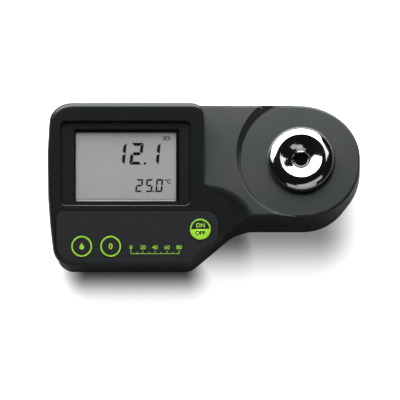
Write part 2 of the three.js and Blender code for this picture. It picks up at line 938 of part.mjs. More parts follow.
function keypadSpacer() {
  const sheet = toSolid(slab(drawnIn(keypadOutline, gap), spacerLow, spacerHigh));
  return cut(sheet, ...keyHoles(keyDiameter + gap * 3, spacerLow - gap, spacerHigh + gap));
}

function keypadOverlay() {
  const sheet = toSolid(slab(drawnIn(keypadOutline, gap), overlayLow, overlayHigh));
  return cut(sheet, ...keyHoles(keyDiameter + gap * 2, overlayLow - gap, overlayHigh + gap));
}

function keyDisc() {
  const radius = keyDiameter / 2;
  const crown = overlayHigh + keyCrown;
  return turned([
    [0, overlayLow],
    [radius, overlayLow],
    [radius, overlayHigh - keyCrown / 2],
    [radius - keyCrown, overlayHigh + keyCrown / 3],
    [radius - keyDiameter / 6, crown - keyCrown / 6],
    [0, crown],
  ]);
}

function snapDome() {
  const radius = domeDiameter / 2;
  const low = filmHigh + gap;
  const high = low + domeHeight;
  return turned([
    [0, high - domeSheet],
    [radius, low],
    [radius, low + domeSheet],
    [0, high],
  ]);
}

// Boards and what is soldered to them

function mainBoard() {
  const board = toSolid(areaSlab(boardArea, boardBossEdge / 2, boardTop - boardThickness, boardTop));
  const holes = boardScrewPlaces.map((place) => (
    placed(disc(boardScrewRadius + gap, boardTop - boardThickness - gap, boardTop + gap, smallSides), place)
  ));
  return cut(board, ...holes);
}

function underBoard(x, y, along, across, height) {
  const high = boardTop - boardThickness - gap;
  return block(at(x - along / 2, y - across / 2, high - height), at(x + along / 2, y + across / 2, high));
}

function screw(radius, headRadius, headHeight, shank) {
  return turned([
    [0, -headHeight],
    [headRadius, -headHeight],
    [headRadius, 0],
    [radius, 0],
    [radius, shank - radius],
    [0, shank],
  ], smallSides);
}

// Sample well, in its own frame: deck level is zero on the axis of the well

const sealHigh = seatGap + sealThickness;
const flangeLow = sealHigh + seatGap;

function wellRing() {
  const flange = flangeLow + wellFlange;
  const bowlRadius = prismRadius + gap;
  const bowlFloor = flangeLow - gap;
  const dome = wellRadius - wellCrestRadius;
  const rise = wellHeight - flange;
  const bowlRun = wellCrestRadius - bowlRadius;
  const profile = [
    [bowlRadius, bowlFloor - wellFlange],
    [bowlRadius + prismSealWidth + gap, bowlFloor - wellFlange],
    [bowlRadius + prismSealWidth + gap, -prismShoulder + gap],
    [prismPocketRadius, -prismShoulder + gap],
    [prismPocketRadius, -skirtDepth],
    [skirtRadius, -skirtDepth],
    [skirtRadius, flangeLow],
    [wellRadius, flangeLow],
    [wellRadius, flange],
  ];
  for (let step = 1; step <= domeSteps; step += 1) {
    const angle = (quarterTurn * step) / domeSteps;
    profile.push([wellCrestRadius + dome * Math.cos(angle), flange + rise * Math.sin(angle)]);
  }
  for (const share of bowlShares) {
    const depth = (wellHeight - bowlFloor) * (1 - (1 - share) ** bowlCurve);
    profile.push([wellCrestRadius - bowlRun * share, wellHeight - depth]);
  }
  profile.push([bowlRadius, bowlFloor]);
  const holes = opticsScrewPlaces.map((place) => (
    placed(disc(opticsScrewRadius + gap, -skirtDepth - gap, -skirtDepth + wellFlange * 4, smallSides), place)
  ));
  const pocket = disc(probeRadius + gap, -skirtDepth - gap, -skirtDepth + probeRise + gap, smallSides);
  return cut(toSolid(turned(profile, wellSides)), ...holes, placed(pocket, probePlace));
}

function wellSeal() {
  return turned([
    [skirtRadius + gap * 2, seatGap],
    [wellRadius + sealProud, seatGap],
    [wellRadius + sealProud, sealHigh],
    [skirtRadius + gap * 2, sealHigh],
  ], wellSides);
}

function prismBody() {
  const low = -prismShoulder - prismDepth;
  const shape = [
    { x: -prismFoot / 2, y: low },
    { x: prismFoot / 2, y: low },
    { x: prismWidth / 2, y: -prismShoulder - prismDepth / 3 },
    { x: prismWidth / 2, y: -prismShoulder },
    { x: -prismWidth / 2, y: -prismShoulder },
    { x: -prismWidth / 2, y: -prismShoulder - prismDepth / 3 },
  ];
  const body = slab(shape, -prismLength / 2, prismLength / 2).rotateX(quarterTurn);
  return join(toSolid(body), toSolid(disc(prismRadius, -prismShoulder - gap, 0)));
}

function prismSeal() {
  const high = flangeLow - gap - wellFlange - gap;
  return turned([
    [prismRadius + gap, high - prismSealThickness],
    [prismRadius + gap + prismSealWidth, high - prismSealThickness],
    [prismRadius + gap + prismSealWidth, high],
    [prismRadius + gap, high],
  ], smallSides * 2);
}

// Optics: a moulded block under the well, with the lamp on one slanted side and the sensor on the other

const opticsTop = -skirtDepth - gap;
const opticsScrewPlaces = opticsScrewAngles.map((angle) => ({
  x: opticsScrewCircle * Math.cos(angle * degrees),
  y: opticsScrewCircle * Math.sin(angle * degrees),
}));
const probePlace = { x: -probeCircle, y: 0 };
const elbowZ = opticsTop - opticsFlange - opticsElbow;
const footZ = opticsTop - opticsFlange - opticsDepth;
const slantX = (opticsReach + opticsFoot) / 2;
const slantZ = (elbowZ + footZ) / 2;
const slantAngle = Math.atan2(elbowZ - footZ, opticsFoot - opticsReach);

// A piece on the right-hand slant: its z axis points out of the slanted side
function onSlant(geometry, side) {
  const placedOut = geometry.rotateY(slantAngle).translate(slantX, 0, slantZ);
  return side > 0 ? placedOut : placedOut.rotateZ(Math.PI);
}

function opticsBlock() {
  const waistZ = opticsTop - opticsFlange;
  const shape = [
    { x: -opticsFoot, y: footZ },
    { x: opticsFoot, y: footZ },
    { x: opticsReach, y: elbowZ },
    { x: opticsWaist, y: waistZ + gap },
    { x: -opticsWaist, y: waistZ + gap },
    { x: -opticsReach, y: elbowZ },
  ];
  const body = toSolid(slab(shape, -opticsWidth / 2, opticsWidth / 2).rotateX(quarterTurn));
  const flange = toSolid(disc(skirtRadius, waistZ, opticsTop, wellSides));
  const chamber = toSolid(disc(opticsChamberRadius + gap, slantZ, opticsTop + gap));
  const bore = () => disc(opticsBoreRadius, -opticsReach, gap, smallSides * 2);
  const holes = opticsScrewPlaces.map((place) => (
    placed(disc(opticsScrewRadius + gap, waistZ - gap, opticsTop + gap, smallSides), place)
  ));
  const probeHole = disc(probeRadius + gap, opticsTop - opticsFlange * 2, opticsTop + gap, smallSides);
  return cut(
    join(body, flange),
    chamber,
    toSolid(onSlant(bore(), 1)),
    toSolid(onSlant(bore(), -1)),
    ...holes,
    placed(probeHole, probePlace),
  );
}

function slantBoard() {
  return block(
    at(-opticsBoardLength / 2, -opticsWidth / 2, gap),
    at(opticsBoardLength / 2, opticsWidth / 2, gap + opticsBoardThickness),
  );
}

function lamp() {
  const points = [[0, -lampLength]];
  for (let step = 1; step <= rimSteps; step += 1) {
    const angle = (quarterTurn * step) / rimSteps;
    points.push([lampRadius * Math.sin(angle), -lampLength + lampRadius * (1 - Math.cos(angle))]);
  }
  points.push([lampRadius, 0], [0, 0]);
  return turned(points, smallSides * 2);
}

function lens() {
  const low = -lensSetback - lensThickness;
  return turned([
    [0, low - lensCurve],
    [lensRadius / 2, low - lensCurve * lensShoulderShare],
    [lensRadius, low],
    [lensRadius, -lensSetback],
    [0, -lensSetback],
  ], smallSides * 2);
}

function imageSensor() {
  return block(
    at(-sensorLength / 2, -sensorWidth / 2, -sensorThickness),
    at(sensorLength / 2, sensorWidth / 2, 0),
  );
}

function temperatureProbe() {
  return disc(probeRadius, opticsTop - opticsFlange, -skirtDepth + probeRise, smallSides);
}

// A point in front of the sensor board, on the case's own axes
function sensorFace(distance) {
  const out = at(Math.sin(slantAngle), 0, Math.cos(slantAngle)).multiplyScalar(distance);
  return at(wellX - slantX - out.x, wellY, deckHeight + slantZ + out.z);
}

// How far up the face the battery plug sits, so that its lead rises straight from the bay
function bayFaceY() {
  const depth = boardDrop + boardThickness + gap + connectorHeight;
  return (bayY - faceCrossY - depth * Math.sin(faceTilt)) / Math.cos(faceTilt);
}

function belowPlug(plug, distance) {
  return plug.clone().add(at(0, 0, -distance)).applyMatrix4(facePlace);
}

// Wires: a round section led along a smooth route

function wire(points, radius) {
  const section = new THREE.Shape();
  section.absarc(0, 0, radius, 0, fullTurn);
  const route = new THREE.CatmullRomCurve3(points);
  const options = { steps: wireSteps, curveSegments: wireSegments, extrudePath: route, bevelEnabled: false };
  return new THREE.ExtrudeGeometry(section, options);
}

// Battery, clip and cover, in the frame of the bay

function batteryBody() {
  const area = {
    left: -batteryLength / 2 - batteryShift,
    right: batteryLength / 2 - batteryShift,
    front: -batteryWidth / 2,
    back: batteryWidth / 2,
  };
  const cell = areaSlab(area, batteryCorner, batteryBottom, batteryBottom + batteryHeight);
  return join(toSolid(cell), ...terminalPair(terminalRadius, area.right - gap, area.right + terminalHeight));
}

function terminalPair(radius, from, to) {
  return [-1, 1].map((side) => {
    const stud = disc(radius, from, to, smallSides).rotateY(quarterTurn);
    return toSolid(stud.translate(0, (side * terminalPitch) / 2, batteryBottom + batteryHeight / 2));
  });
}

function batteryClip() {
  const body = toSolid(block(
    at(clipFrom, -clipWidth / 2, batteryBottom + gap),
    at(clipFrom + clipThickness, clipWidth / 2, batteryBottom + batteryHeight - gap),
  ));
  return cut(body, ...terminalPair(terminalRadius + gap, clipFrom - gap, clipFrom + terminalHeight));
}

function batteryCover() {
  const plate = disc(coverRadius, footStand, footStand + coverThickness);
  const spigot = disc(coverSpigotRadius, footStand + coverThickness - gap, lugBottom + lugThickness);
  const hollow = disc(coverSpigotRadius - wall, footStand + coverThickness, batteryBottom);
  const lug = lugSector(lugRadius, 0, lugBottom, lugBottom + lugThickness);
  const lugs = Array.from({ length: lugCount }, (_, index) => (
    lug.rotate([0, 0, (fullCircle * index) / lugCount])
  ));
  const groove = cut(
    toSolid(disc(coverSpigotRadius + gap, grooveLow, grooveHigh)),
    toSolid(disc(coverSpigotRadius - ringSection, grooveLow - gap, grooveHigh + gap)),
  );
  const cup = cut(join(toSolid(plate), toSolid(spigot)), toSolid(hollow));
  return cut(join(cup, ...lugs), groove, gripCut());
}

// The cover is turned by a bar left standing between two finger hollows
function gripCut() {
  const round = toSolid(disc(gripLength / 2, footStand - overrun, footStand + gripDepth));
  const bar = toSolid(block(
    at(-gripLength, -gripWidth / 2, footStand - overrun - gap),
    at(gripLength, gripWidth / 2, footStand + gripDepth + gap),
  ));
  return cut(round, bar);
}

const grooveLow = footStand + coverThickness + gap;
const grooveHigh = grooveLow + ringSection + gap;

function coverRing() {
  const inner = coverSpigotRadius - ringSection + gap;
  return turned([
    [inner, grooveLow + gap / 2],
    [inner + ringSection, grooveLow + gap / 2],
    [inner + ringSection, grooveHigh - gap / 2],
    [inner, grooveHigh - gap / 2],
  ]);
}

function foot() {
  return turned([
    [0, 0],
    [footRadius - footStand / 2, 0],
    [footRadius, footStand / 2],
    [footRadius, footStand + footSeat - seatGap],
    [0, footStand + footSeat - seatGap],
  ], smallSides * 2);
}

// Finishes

function finish(color, roughness, metalness = 0) {
  return new THREE.MeshStandardMaterial({ color, roughness, metalness });
}

const finishes = {
  upperCase: finish(0x4a5052, 0.5),
  lowerCase: finish(0x3a3b38, 0.55),
  rubber: finish(0x1a1a1a, 0.9),
  clearWindow: finish(0x252624, 0.1),
  blackPlastic: finish(0x1c1d1e, 0.6),
  displayGlass: finish(0x9e9e9e, 0.25),
  keypadFilm: finish(0x292b2d, 0.6),
  keyCap: finish(0x303234, 0.55),
  powerKey: finish(0x8bc52e, 0.5),
  springSteel: finish(0xc8c8c8, 0.3, 1),
  polishedSteel: finish(0xd0d2d4, 0.12, 1),
  zincSteel: finish(0xb4b6b8, 0.35, 1),
  circuitBoard: finish(0x1f5a36, 0.5),
  chip: finish(0x18181a, 0.5),
  prismGlass: finish(0xdfe8ec, 0.05),
  lampLens: finish(0xe8b84a, 0.2),
  batterySteel: finish(0x3c3f46, 0.35, 0.6),
  wirePlastic: finish(0x8a1f1c, 0.6),
};

// Assembly

function solidMesh(name, shape, material) {
  const geometry = shape.isBufferGeometry ? toGeometry(toSolid(shape)) : toGeometry(shape);
  const mesh = new THREE.Mesh(geometry, material);
  mesh.name = name;
  return mesh;
}

function placedMesh(name, shape, material, place, height = 0) {
  const mesh = solidMesh(name, shape, material);
  mesh.position.set(place.x, place.y, height);
  return mesh;
}

const refractometer = new THREE.Group();
refractometer.name = 'digital_refractometer';
refractometer.add(
  solidMesh('upper_case', upperCase(), finishes.upperCase),
  solidMesh('lower_case', lowerCase(), finishes.lowerCase),
  solidMesh('case_gasket', caseGasket(), finishes.rubber),
);
footPlaces.forEach((place, i) => {
  refractometer.add(placedMesh(`foot_${i + 1}`, foot(), finishes.rubber, place));
});
caseScrewPlaces.forEach((place, i) => {
  const shape = screw(screwRadius, screwHeadRadius, screwHeadHeight, screwLength);
  refractometer.add(placedMesh(`case_screw_${i + 1}`, shape, finishes.zincSteel, place, screwSeat - gap));
});

const facePanel = new THREE.Group();
facePanel.position.set(0, faceCrossY, neckHeight);
facePanel.rotation.x = faceTilt;
refractometer.add(facePanel);
facePanel.add(
  solidMesh('display_window', displayWindow(), finishes.clearWindow),
  solidMesh('lcd_frame', lcdFrame(), finishes.blackPlastic),
  solidMesh('lcd_panel', lcdPanel(), finishes.displayGlass),
  solidMesh('zebra_strip_front', zebraStrip(viewArea.front), finishes.rubber),
  solidMesh('zebra_strip_back', zebraStrip(viewArea.back), finishes.rubber),
  solidMesh('keypad_circuit', keypadCircuit(), finishes.circuitBoard),
  solidMesh('keypad_spacer', keypadSpacer(), finishes.keypadFilm),
  solidMesh('keypad_overlay', keypadOverlay(), finishes.keypadFilm),
  solidMesh('main_board', mainBoard(), finishes.circuitBoard),
);
for (const [name, place] of Object.entries(keyPlaces)) {
  const material = name === 'power' ? finishes.powerKey : finishes.keyCap;
  facePanel.add(
    placedMesh(`${name}_key`, keyDisc(), material, place),
    placedMesh(`${name}_dome`, snapDome(), finishes.springSteel, place),
  );
}
boardScrewPlaces.forEach((place, i) => {
  const head = boardScrewRadius * 2;
  const shape = screw(boardScrewRadius, head, boardThickness, boardDrop - faceWall - boardThickness);
  const seat = boardTop - boardThickness - gap;
  facePanel.add(placedMesh(`board_screw_${i + 1}`, shape, finishes.zincSteel, place, seat));
});
const boardMiddle = (boardArea.left + boardArea.right) / 2;
const tailMiddle = left + tailFromLeft + tailWidth / 2;
const processor = underBoard(boardMiddle, boardArea.back / 2, chipSide, chipSide, chipThickness);
const driver = underBoard(boardMiddle, boardArea.front + chipSide, driverLength, driverWidth, chipThickness);
facePanel.add(
  solidMesh('processor_chip', processor, finishes.chip),
  solidMesh('display_driver_chip', driver, finishes.chip),
);

const batteryPlug = new THREE.Vector3(lead.x, bayFaceY(), boardTop - boardThickness - gap - connectorHeight);
const opticsPlug = new THREE.Vector3(
  boardArea.right - connectorLength, batteryPlug.y + connectorDepth * 2, batteryPlug.z,
);
const keypadPlug = block(
  at(tailMiddle - tailWidth / 2, tailSlot().front - gap - connectorDepth, boardTop + gap),
  at(tailMiddle + tailWidth / 2, tailSlot().front - gap, boardTop + connectorHeight),
);

function plugSocket(plug) {
  return underBoard(plug.x, plug.y, connectorLength, connectorDepth, connectorHeight);
}

facePanel.add(
  solidMesh('keypad_connector', keypadPlug, finishes.blackPlastic),
  solidMesh('battery_connector', plugSocket(batteryPlug), finishes.blackPlastic),
  solidMesh('optics_connector', plugSocket(opticsPlug), finishes.blackPlastic),
);

const well = new THREE.Group();
well.position.set(wellX, wellY, deckHeight);
refractometer.add(well);
well.add(
  solidMesh('well_ring', wellRing(), finishes.polishedSteel),
  solidMesh('well_seal', wellSeal(), finishes.rubber),
  solidMesh('prism', prismBody(), finishes.prismGlass),
  solidMesh('prism_seal', prismSeal(), finishes.rubber),
  solidMesh('optics_block', opticsBlock(), finishes.blackPlastic),
  solidMesh('lamp_board', onSlant(slantBoard(), 1), finishes.circuitBoard),
  solidMesh('lamp', onSlant(lamp(), 1), finishes.lampLens),
  solidMesh('collimating_lens', onSlant(lens(), 1), finishes.prismGlass),
  solidMesh('sensor_board', onSlant(slantBoard(), -1), finishes.circuitBoard),
  solidMesh('image_sensor', onSlant(imageSensor(), -1), finishes.chip),
  placedMesh('temperature_probe', temperatureProbe(), finishes.batterySteel, probePlace),
);
opticsScrewPlaces.forEach((place, i) => {
  const reach = opticsFlange + probeRise - gap;
  const shape = screw(opticsScrewRadius, opticsScrewHeadRadius, screwHeadHeight, reach);
  const seat = opticsTop - opticsFlange - gap;
  well.add(placedMesh(`optics_screw_${i + 1}`, shape, finishes.zincSteel, place, seat));
});

const batteryBay = new THREE.Group();
batteryBay.position.set(bayX, bayY, 0);
refractometer.add(batteryBay);
batteryBay.add(
  solidMesh('battery', batteryBody(), finishes.batterySteel),
  solidMesh('battery_clip', batteryClip(), finishes.blackPlastic),
  solidMesh('battery_cover', batteryCover(), finishes.lowerCase),
  solidMesh('cover_ring', coverRing(), finishes.rubber),
);

// Leads run from the clip to the board, and from the board to the optics
const leadStart = at(lead.x, lead.y, batteryBottom + batteryHeight);
const leadEnd = belowPlug(batteryPlug, gap);
const leadBend = belowPlug(batteryPlug, gap + leadRadius * 2);
const cableStart = belowPlug(opticsPlug, gap);
const cableEnd = sensorFace(gap * 2 + opticsBoardThickness);
const cableTurn = sensorFace(opticsElbow);
const cableMiddleY = (cableStart.y + cableEnd.y) / 2;
const overBay = at(bayX + bayRadius + bayWall + cableRadius * 2, cableMiddleY, upperBase + cableRadius);
const cableMiddle = at((overBay.x + cableTurn.x) / 2, cableMiddleY, cableTurn.z);
refractometer.add(
  solidMesh('battery_lead', wire([leadStart, leadBend, leadEnd], leadRadius), finishes.wirePlastic),
  solidMesh('optics_cable', wire([
    cableStart,
    belowPlug(opticsPlug, gap + cableRadius * 2),
    overBay,
    cableMiddle,
    cableTurn,
    cableEnd,
  ], cableRadius), finishes.wirePlastic),
);

export default refractometer;
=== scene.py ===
import math

import bmesh
import bpy
from mathutils import Matrix, Vector


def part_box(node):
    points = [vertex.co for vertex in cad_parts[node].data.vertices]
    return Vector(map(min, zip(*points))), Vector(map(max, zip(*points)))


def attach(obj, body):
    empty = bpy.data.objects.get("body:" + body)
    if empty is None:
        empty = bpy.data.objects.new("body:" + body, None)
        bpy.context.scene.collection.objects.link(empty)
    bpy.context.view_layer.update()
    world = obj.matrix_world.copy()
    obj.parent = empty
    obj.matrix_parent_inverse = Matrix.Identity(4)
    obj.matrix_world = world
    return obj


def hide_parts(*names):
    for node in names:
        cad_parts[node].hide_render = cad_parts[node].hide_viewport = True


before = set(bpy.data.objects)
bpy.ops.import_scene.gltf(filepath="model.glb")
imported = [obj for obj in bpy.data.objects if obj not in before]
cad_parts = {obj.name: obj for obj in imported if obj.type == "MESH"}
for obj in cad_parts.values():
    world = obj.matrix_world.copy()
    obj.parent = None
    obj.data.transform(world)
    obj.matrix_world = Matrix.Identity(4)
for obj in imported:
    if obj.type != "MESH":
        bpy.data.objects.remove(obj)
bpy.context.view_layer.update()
mm = 0.001
print("frame loaded:", len(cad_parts), "nodes")


# Camera: straight in front and high above, with a long lens
camera = {
    "target": (-2.2, -14.2, 48.0),  # mm, what the middle of the picture looks at
    "elevation": 72.0,
    "distance": 4000.0,
    "pictureWidth": 244.3,  # mm that the picture spans at the target
    "sensor": 36.0,
}


def millimetres(*place):
    return Vector(place) * mm


def nodeMiddle(name):
    low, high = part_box(name)
    return (low.x + high.x) / 2 / mm, (low.y + high.y) / 2 / mm


def addObject(name, data):
    obj = bpy.data.objects.new(name, data)
    bpy.context.scene.collection.objects.link(obj)
    return obj


def meshObject(bm, name):
    mesh = bpy.data.meshes.new(name)
    bm.to_mesh(mesh)
    bm.free()
    return addObject(name, mesh)


def aim(obj, target, outwards, distance):
    # Stands off the target in that direction, and looks back at it
    obj.location = millimetres(*target) + outwards * distance * mm
    obj.rotation_euler = outwards.to_track_quat("Z", "Y").to_euler()


def makeCamera():
    angle = math.radians(camera["elevation"])
    backward = Vector((0, -math.cos(angle), math.sin(angle)))
    data = bpy.data.cameras.new("camera")
    data.sensor_width = camera["sensor"]
    data.lens = camera["sensor"] * camera["distance"] / camera["pictureWidth"]
    data.clip_end = 100
    view = addObject("camera", data)
    aim(view, camera["target"], backward, camera["distance"])
    bpy.context.scene.camera = view


makeCamera()
bpy.context.scene.view_settings.view_transform = "Standard"


# Colours and nodes
def colour(code):
    channels = [int(code[i:i + 2], 16) / 255 for i in (0, 2, 4)]
    linear = [c / 12.92 if c <= 0.04045 else ((c + 0.055) / 1.055) ** 2.4 for c in channels]
    return (*linear, 1)


def feed(node, inputs):
    # A value is set, and another node is linked by its first output that is in use
    for socket, value in inputs.items():
        if isinstance(value, bpy.types.Node):
            value = next(output for output in value.outputs if output.enabled)
        if isinstance(value, bpy.types.NodeSocket):
            node.id_data.links.new(value, node.inputs[socket])
        else:
            node.inputs[socket].default_value = value


def addNode(tree, kind, inputs=None, **settings):
    node = tree.nodes.new("ShaderNode" + kind)
    for name, value in settings.items():
        setattr(node, name, value)
    feed(node, inputs or {})
    return node


def perMillimetre(size):
    return 1 / (size * mm)


def newMaterial(name):
    material = bpy.data.materials.new(name)
    material.use_nodes = True
    tree = material.node_tree
    tree.nodes.clear()
    return material, tree, addNode(tree, "TexCoord").outputs["Object"]


# Studio: a white floor, softboxes behind, left and right, cards in front and below, and dim room light
studio = {
    "floorRadius": 6000,
    "floorColour": "888888",
    "floorPaintedShadow": "4c4c4c",  # painted contact shadow: the floor's colour right in front of the case
    "floorLift": 0.98,  # glow that the camera sees; reflections see the smaller share below
    "reflectedLift": 0.04,
    # Middle, half size and rounding of each box, how far its painted contact shadow reaches, and the share
    # of glow and pale colour left at its edge
    "paintedContactShadows": [
        {"box": ((-42, -22.5), (30, 22.5), 0), "reach": 22.0, "least": 0.03},
        {"box": ((11, -12), (9, 11), 0), "reach": 32.0, "least": 0.08},
        {"box": ((42, -9.5), (28, 9.5), 0), "reach": 34.0, "least": 0.22},
    ],
    # The floor is clear there, hidden under the case, so that the underside gets some light
    "underBoxes": [((-46, 0), (34, 35), 10), ((10, 13), (20, 20), 10), ((50, 13), (8, 0), 31)],
    "roomStrength": 0.012,
    "aimHeight": 40,
    # Name, azimuth with 0 to the right and 90 behind, elevation, distance, width, height, level
    "softboxes": [
        ("softboxBack", 100, 38, 560, 900, 470, 12.4),
        ("softboxLeft", 141, 30, 800, 560, 540, 1.75),
        ("softboxRight", 45, 47, 800, 400, 280, 1.75),
        ("cardFront", 275, 20, 900, 1250, 680, 0.6),
        ("cardHigh", 302, 48, 900, 820, 330, 0.75),
        ("cardBelow", 0, -90, 440, 700, 500, 1.2),
    ],
}


def makeSoftbox(name, azimuth, elevation, distance, width, height, level):
    data = bpy.data.lights.new(name, "AREA")
    data.shape = "RECTANGLE"
    data.size, data.size_y = width * mm, height * mm
    data.energy = level * math.pi * (width * mm) * (height * mm)
    across, up = math.radians(azimuth), math.radians(elevation)
    towards = Vector((math.cos(up) * math.cos(across), math.cos(up) * math.sin(across), math.sin(up)))
    light = addObject(name, data)
    aim(light, (0, 0, studio["aimHeight"]), towards, distance)
    light.visible_camera = False


def makeRoomLight():
    world = bpy.data.worlds.new("room")
    world.use_nodes = True
    light = {"Color": colour("ffffff"), "Strength": studio["roomStrength"]}
    feed(world.node_tree.nodes["Background"], light)
    bpy.context.scene.world = world


def distanceFrom(tree, place, boxes):
    # How far a point of the floor is from the nearest of some rounded boxes; below 0 inside them
    nearest = None
    for middle, half, rounding in boxes:
        reach = place
        for operation, other in (("SUBTRACT", millimetres(*middle, 0)), ("ABSOLUTE", (0, 0, 0)),
                                 ("SUBTRACT", millimetres(*half, 0)), ("MAXIMUM", (0, 0, 0)),
                                 ("LENGTH", (0, 0, 0))):
            reach = addNode(tree, "VectorMath", {0: reach, 1: other}, operation=operation)
        reach = addNode(tree, "Math", {0: reach, 1: rounding * mm}, operation="SUBTRACT")
        if nearest:
            reach = addNode(tree, "Math", {0: nearest, 1: reach}, operation="MINIMUM")
        nearest = reach
    return nearest


def makeFloor():
    # Painted board that photographs white: it shows white to the camera and in reflections, and keeps the
    # shadow.
    # Near the case its colour darkens and its glow fades, as a painted contact shadow.
    material, tree, place = newMaterial("paintedBoard")
    flat = addNode(tree, "VectorMath", {0: place, 1: (1, 1, 0)}, operation="MULTIPLY")
    clearOfPaintedShadow = None
    # Painted contact shadow: near each box the floor's colour darkens and its glow fades
    for shadow in studio["paintedContactShadows"]:
        part = addNode(tree, "MapRange", {
            "Value": distanceFrom(tree, flat, [shadow["box"]]),
            "From Max": shadow["reach"] * mm,
            "To Min": shadow["least"],
        }, interpolation_type="SMOOTHSTEP")
        if clearOfPaintedShadow:
            part = addNode(tree, "Math", {0: clearOfPaintedShadow, 1: part}, operation="MINIMUM")
        clearOfPaintedShadow = part
    near, away = colour(studio["floorPaintedShadow"]), colour(studio["floorColour"])
    tone = addNode(tree, "Mix", {0: clearOfPaintedShadow, "A": near, "B": away}, data_type="RGBA")
    board = addNode(tree, "BsdfDiffuse", {"Color": tone})
    path = addNode(tree, "LightPath").outputs
    mirrored = addNode(tree, "Math", {0: path["Is Glossy Ray"], 1: path["Is Transmission Ray"]},
                       operation="MAXIMUM")
    direct = addNode(tree, "Math", {0: path["Is Camera Ray"], 1: studio["floorLift"]}, operation="MULTIPLY")
    lift = addNode(tree, "Math", {0: mirrored, 1: studio["reflectedLift"], 2: direct},
                   operation="MULTIPLY_ADD")
    lift = addNode(tree, "Math", {0: lift, 1: clearOfPaintedShadow}, operation="MULTIPLY")
    glow = addNode(tree, "Emission", {"Strength": lift})
    upper = addNode(tree, "AddShader", {0: board, 1: glow})
    clear = addNode(tree, "BsdfTransparent")
    below = addNode(tree, "NewGeometry").outputs["Backfacing"]
    under = addNode(tree, "Math", {0: distanceFrom(tree, flat, studio["underBoxes"]), 1: 0.0},
                    operation="LESS_THAN")
    unseen = addNode(tree, "Math", {0: below, 1: under}, operation="MAXIMUM")
    surface = addNode(tree, "MixShader", {0: unseen, 1: upper, 2: clear})
    addNode(tree, "OutputMaterial", {"Surface": surface})
    bm = bmesh.new()
    bmesh.ops.create_circle(bm, cap_ends=True, segments=96, radius=studio["floorRadius"] * mm)
    floor = meshObject(bm, "floor")
    floor.data.materials.append(material)


for spec in studio["softboxes"]:
    makeSoftbox(*spec)
makeRoomLight()
makeFloor()
print("camera and studio made")


# Finishes
def startFinish(name, base, roughness, own=None):
    material, tree, place = newMaterial(name)
    values = {"Base Color": colour(base), "Roughness": roughness, **(own or {})}
    shader = addNode(tree, "BsdfPrincipled", values)
    addNode(tree, "OutputMaterial", {"Surface": shader})
    return material, tree, place, shader


def makeFinish(name, base, roughness, size, own=None, tones=None, contrast=(0, 1), gloss=None, relief=None,
               stretch=(1, 1, 1), texture="TexNoise", detail=2):
    # One pattern, its size in mm, drives the colour, the gloss and the relief that the finish has
    material, tree, place, shader = startFinish(name, base, roughness, own)
    place = addNode(tree, "Mapping", {"Vector": place, "Scale": stretch})
    pattern = addNode(tree, texture, {"Vector": place, "Scale": perMillimetre(size), "Detail": detail})
    if tones:
        low, high = contrast
        first, second = colour(tones[0]), colour(tones[1])
        share = addNode(tree, "MapRange", {"Value": pattern, "From Min": low, "From Max": high})
        shade = addNode(tree, "Mix", {0: share, "A": first, "B": second}, data_type="RGBA")
        feed(shader, {"Base Color": shade})
    if gloss:
        spread = addNode(tree, "MapRange", {"Value": pattern, "To Min": gloss[0], "To Max": gloss[1]})
        feed(shader, {"Roughness": spread})
    if relief:
        bump = addNode(tree, "Bump", {"Height": pattern, "Strength": relief[0], "Distance": relief[1] * mm})
        feed(shader, {"Normal": bump})
    return material


def mouldedAbs(name, dark, light, glossLow, glossHigh):
    # Injection-moulded ABS from a spark-eroded tool: black, with a fine even grain that spreads
    # the highlights
    own = {"IOR": 1.53, "Specular IOR Level": 0.34}
    material, tree, place, shader = startFinish(name, dark, glossLow, own)
    # Patches of mould release and handling, cloudy colour, and the grain of the tool.
    # The patches shift the sheen between a cool and a warm black.
    patches, cloud, grain = (
        addNode(tree, "TexNoise", {"Vector": place, "Scale": perMillimetre(size), "Detail": detail})
        for size, detail in ((38, 4), (14, 3), (0.45, 2)))
    spread = addNode(tree, "MapRange", {"Value": patches, "From Min": 0.35, "From Max": 0.65})
    sheen = addNode(tree, "Mix", {0: spread, "A": colour("e4f4f8"), "B": colour("fbf6f1")}, data_type="RGBA")
    shade = addNode(tree, "Mix", {0: cloud, "A": colour(dark), "B": colour(light)}, data_type="RGBA")
    gloss = addNode(tree, "MapRange", {"Value": grain, "From Min": 0.3, "From Max": 0.7,
                                       "To Min": glossLow, "To Max": glossHigh})
    gloss = addNode(tree, "Math", {0: patches, 1: 0.1, 2: gloss}, operation="MULTIPLY_ADD")
    bump = addNode(tree, "Bump", {"Height": grain, "Strength": 0.35, "Distance": 0.02 * mm})
    feed(shader, {"Base Color": shade, "Roughness": gloss, "Specular Tint": sheen, "Normal": bump})
    return material


def screenPrint(name, dark, light, roughness, specular):
    # Screen-printed ink: even cover with the faint mottle of the mesh it was pressed through
    return makeFinish(name, dark, roughness, 0.6, {"Specular IOR Level": specular}, tones=(dark, light),
                      relief=(0.2, 0.01))


def plainMoulding(name, dark, light, roughness):
    # Small unpainted moulding: even colour with a slight flow mottle
    return makeFinish(name, dark, roughness, 5, tones=(dark, light), detail=3)


def polishedSteel():
    # Turned and polished stainless steel: near mirror, with hair-fine rings left by the lathe
    material, tree, place, shader = startFinish("polishedSteel", "bcbcba", 0.05, {"Metallic": 1.0})
    middle = millimetres(*nodeMiddle("well_ring"), 0)
    centre = addNode(tree, "Mapping", {"Vector": place, "Location": -middle})
    rings = addNode(tree, "TexWave", {"Vector": centre, "Scale": perMillimetre(2.4), "Distortion": 0.4},
                    wave_type="RINGS", rings_direction="Z")
    gloss = addNode(tree, "MapRange", {"Value": rings.outputs[1], "To Min": 0.04, "To Max": 0.09})
    feed(shader, {"Roughness": gloss})
    return material


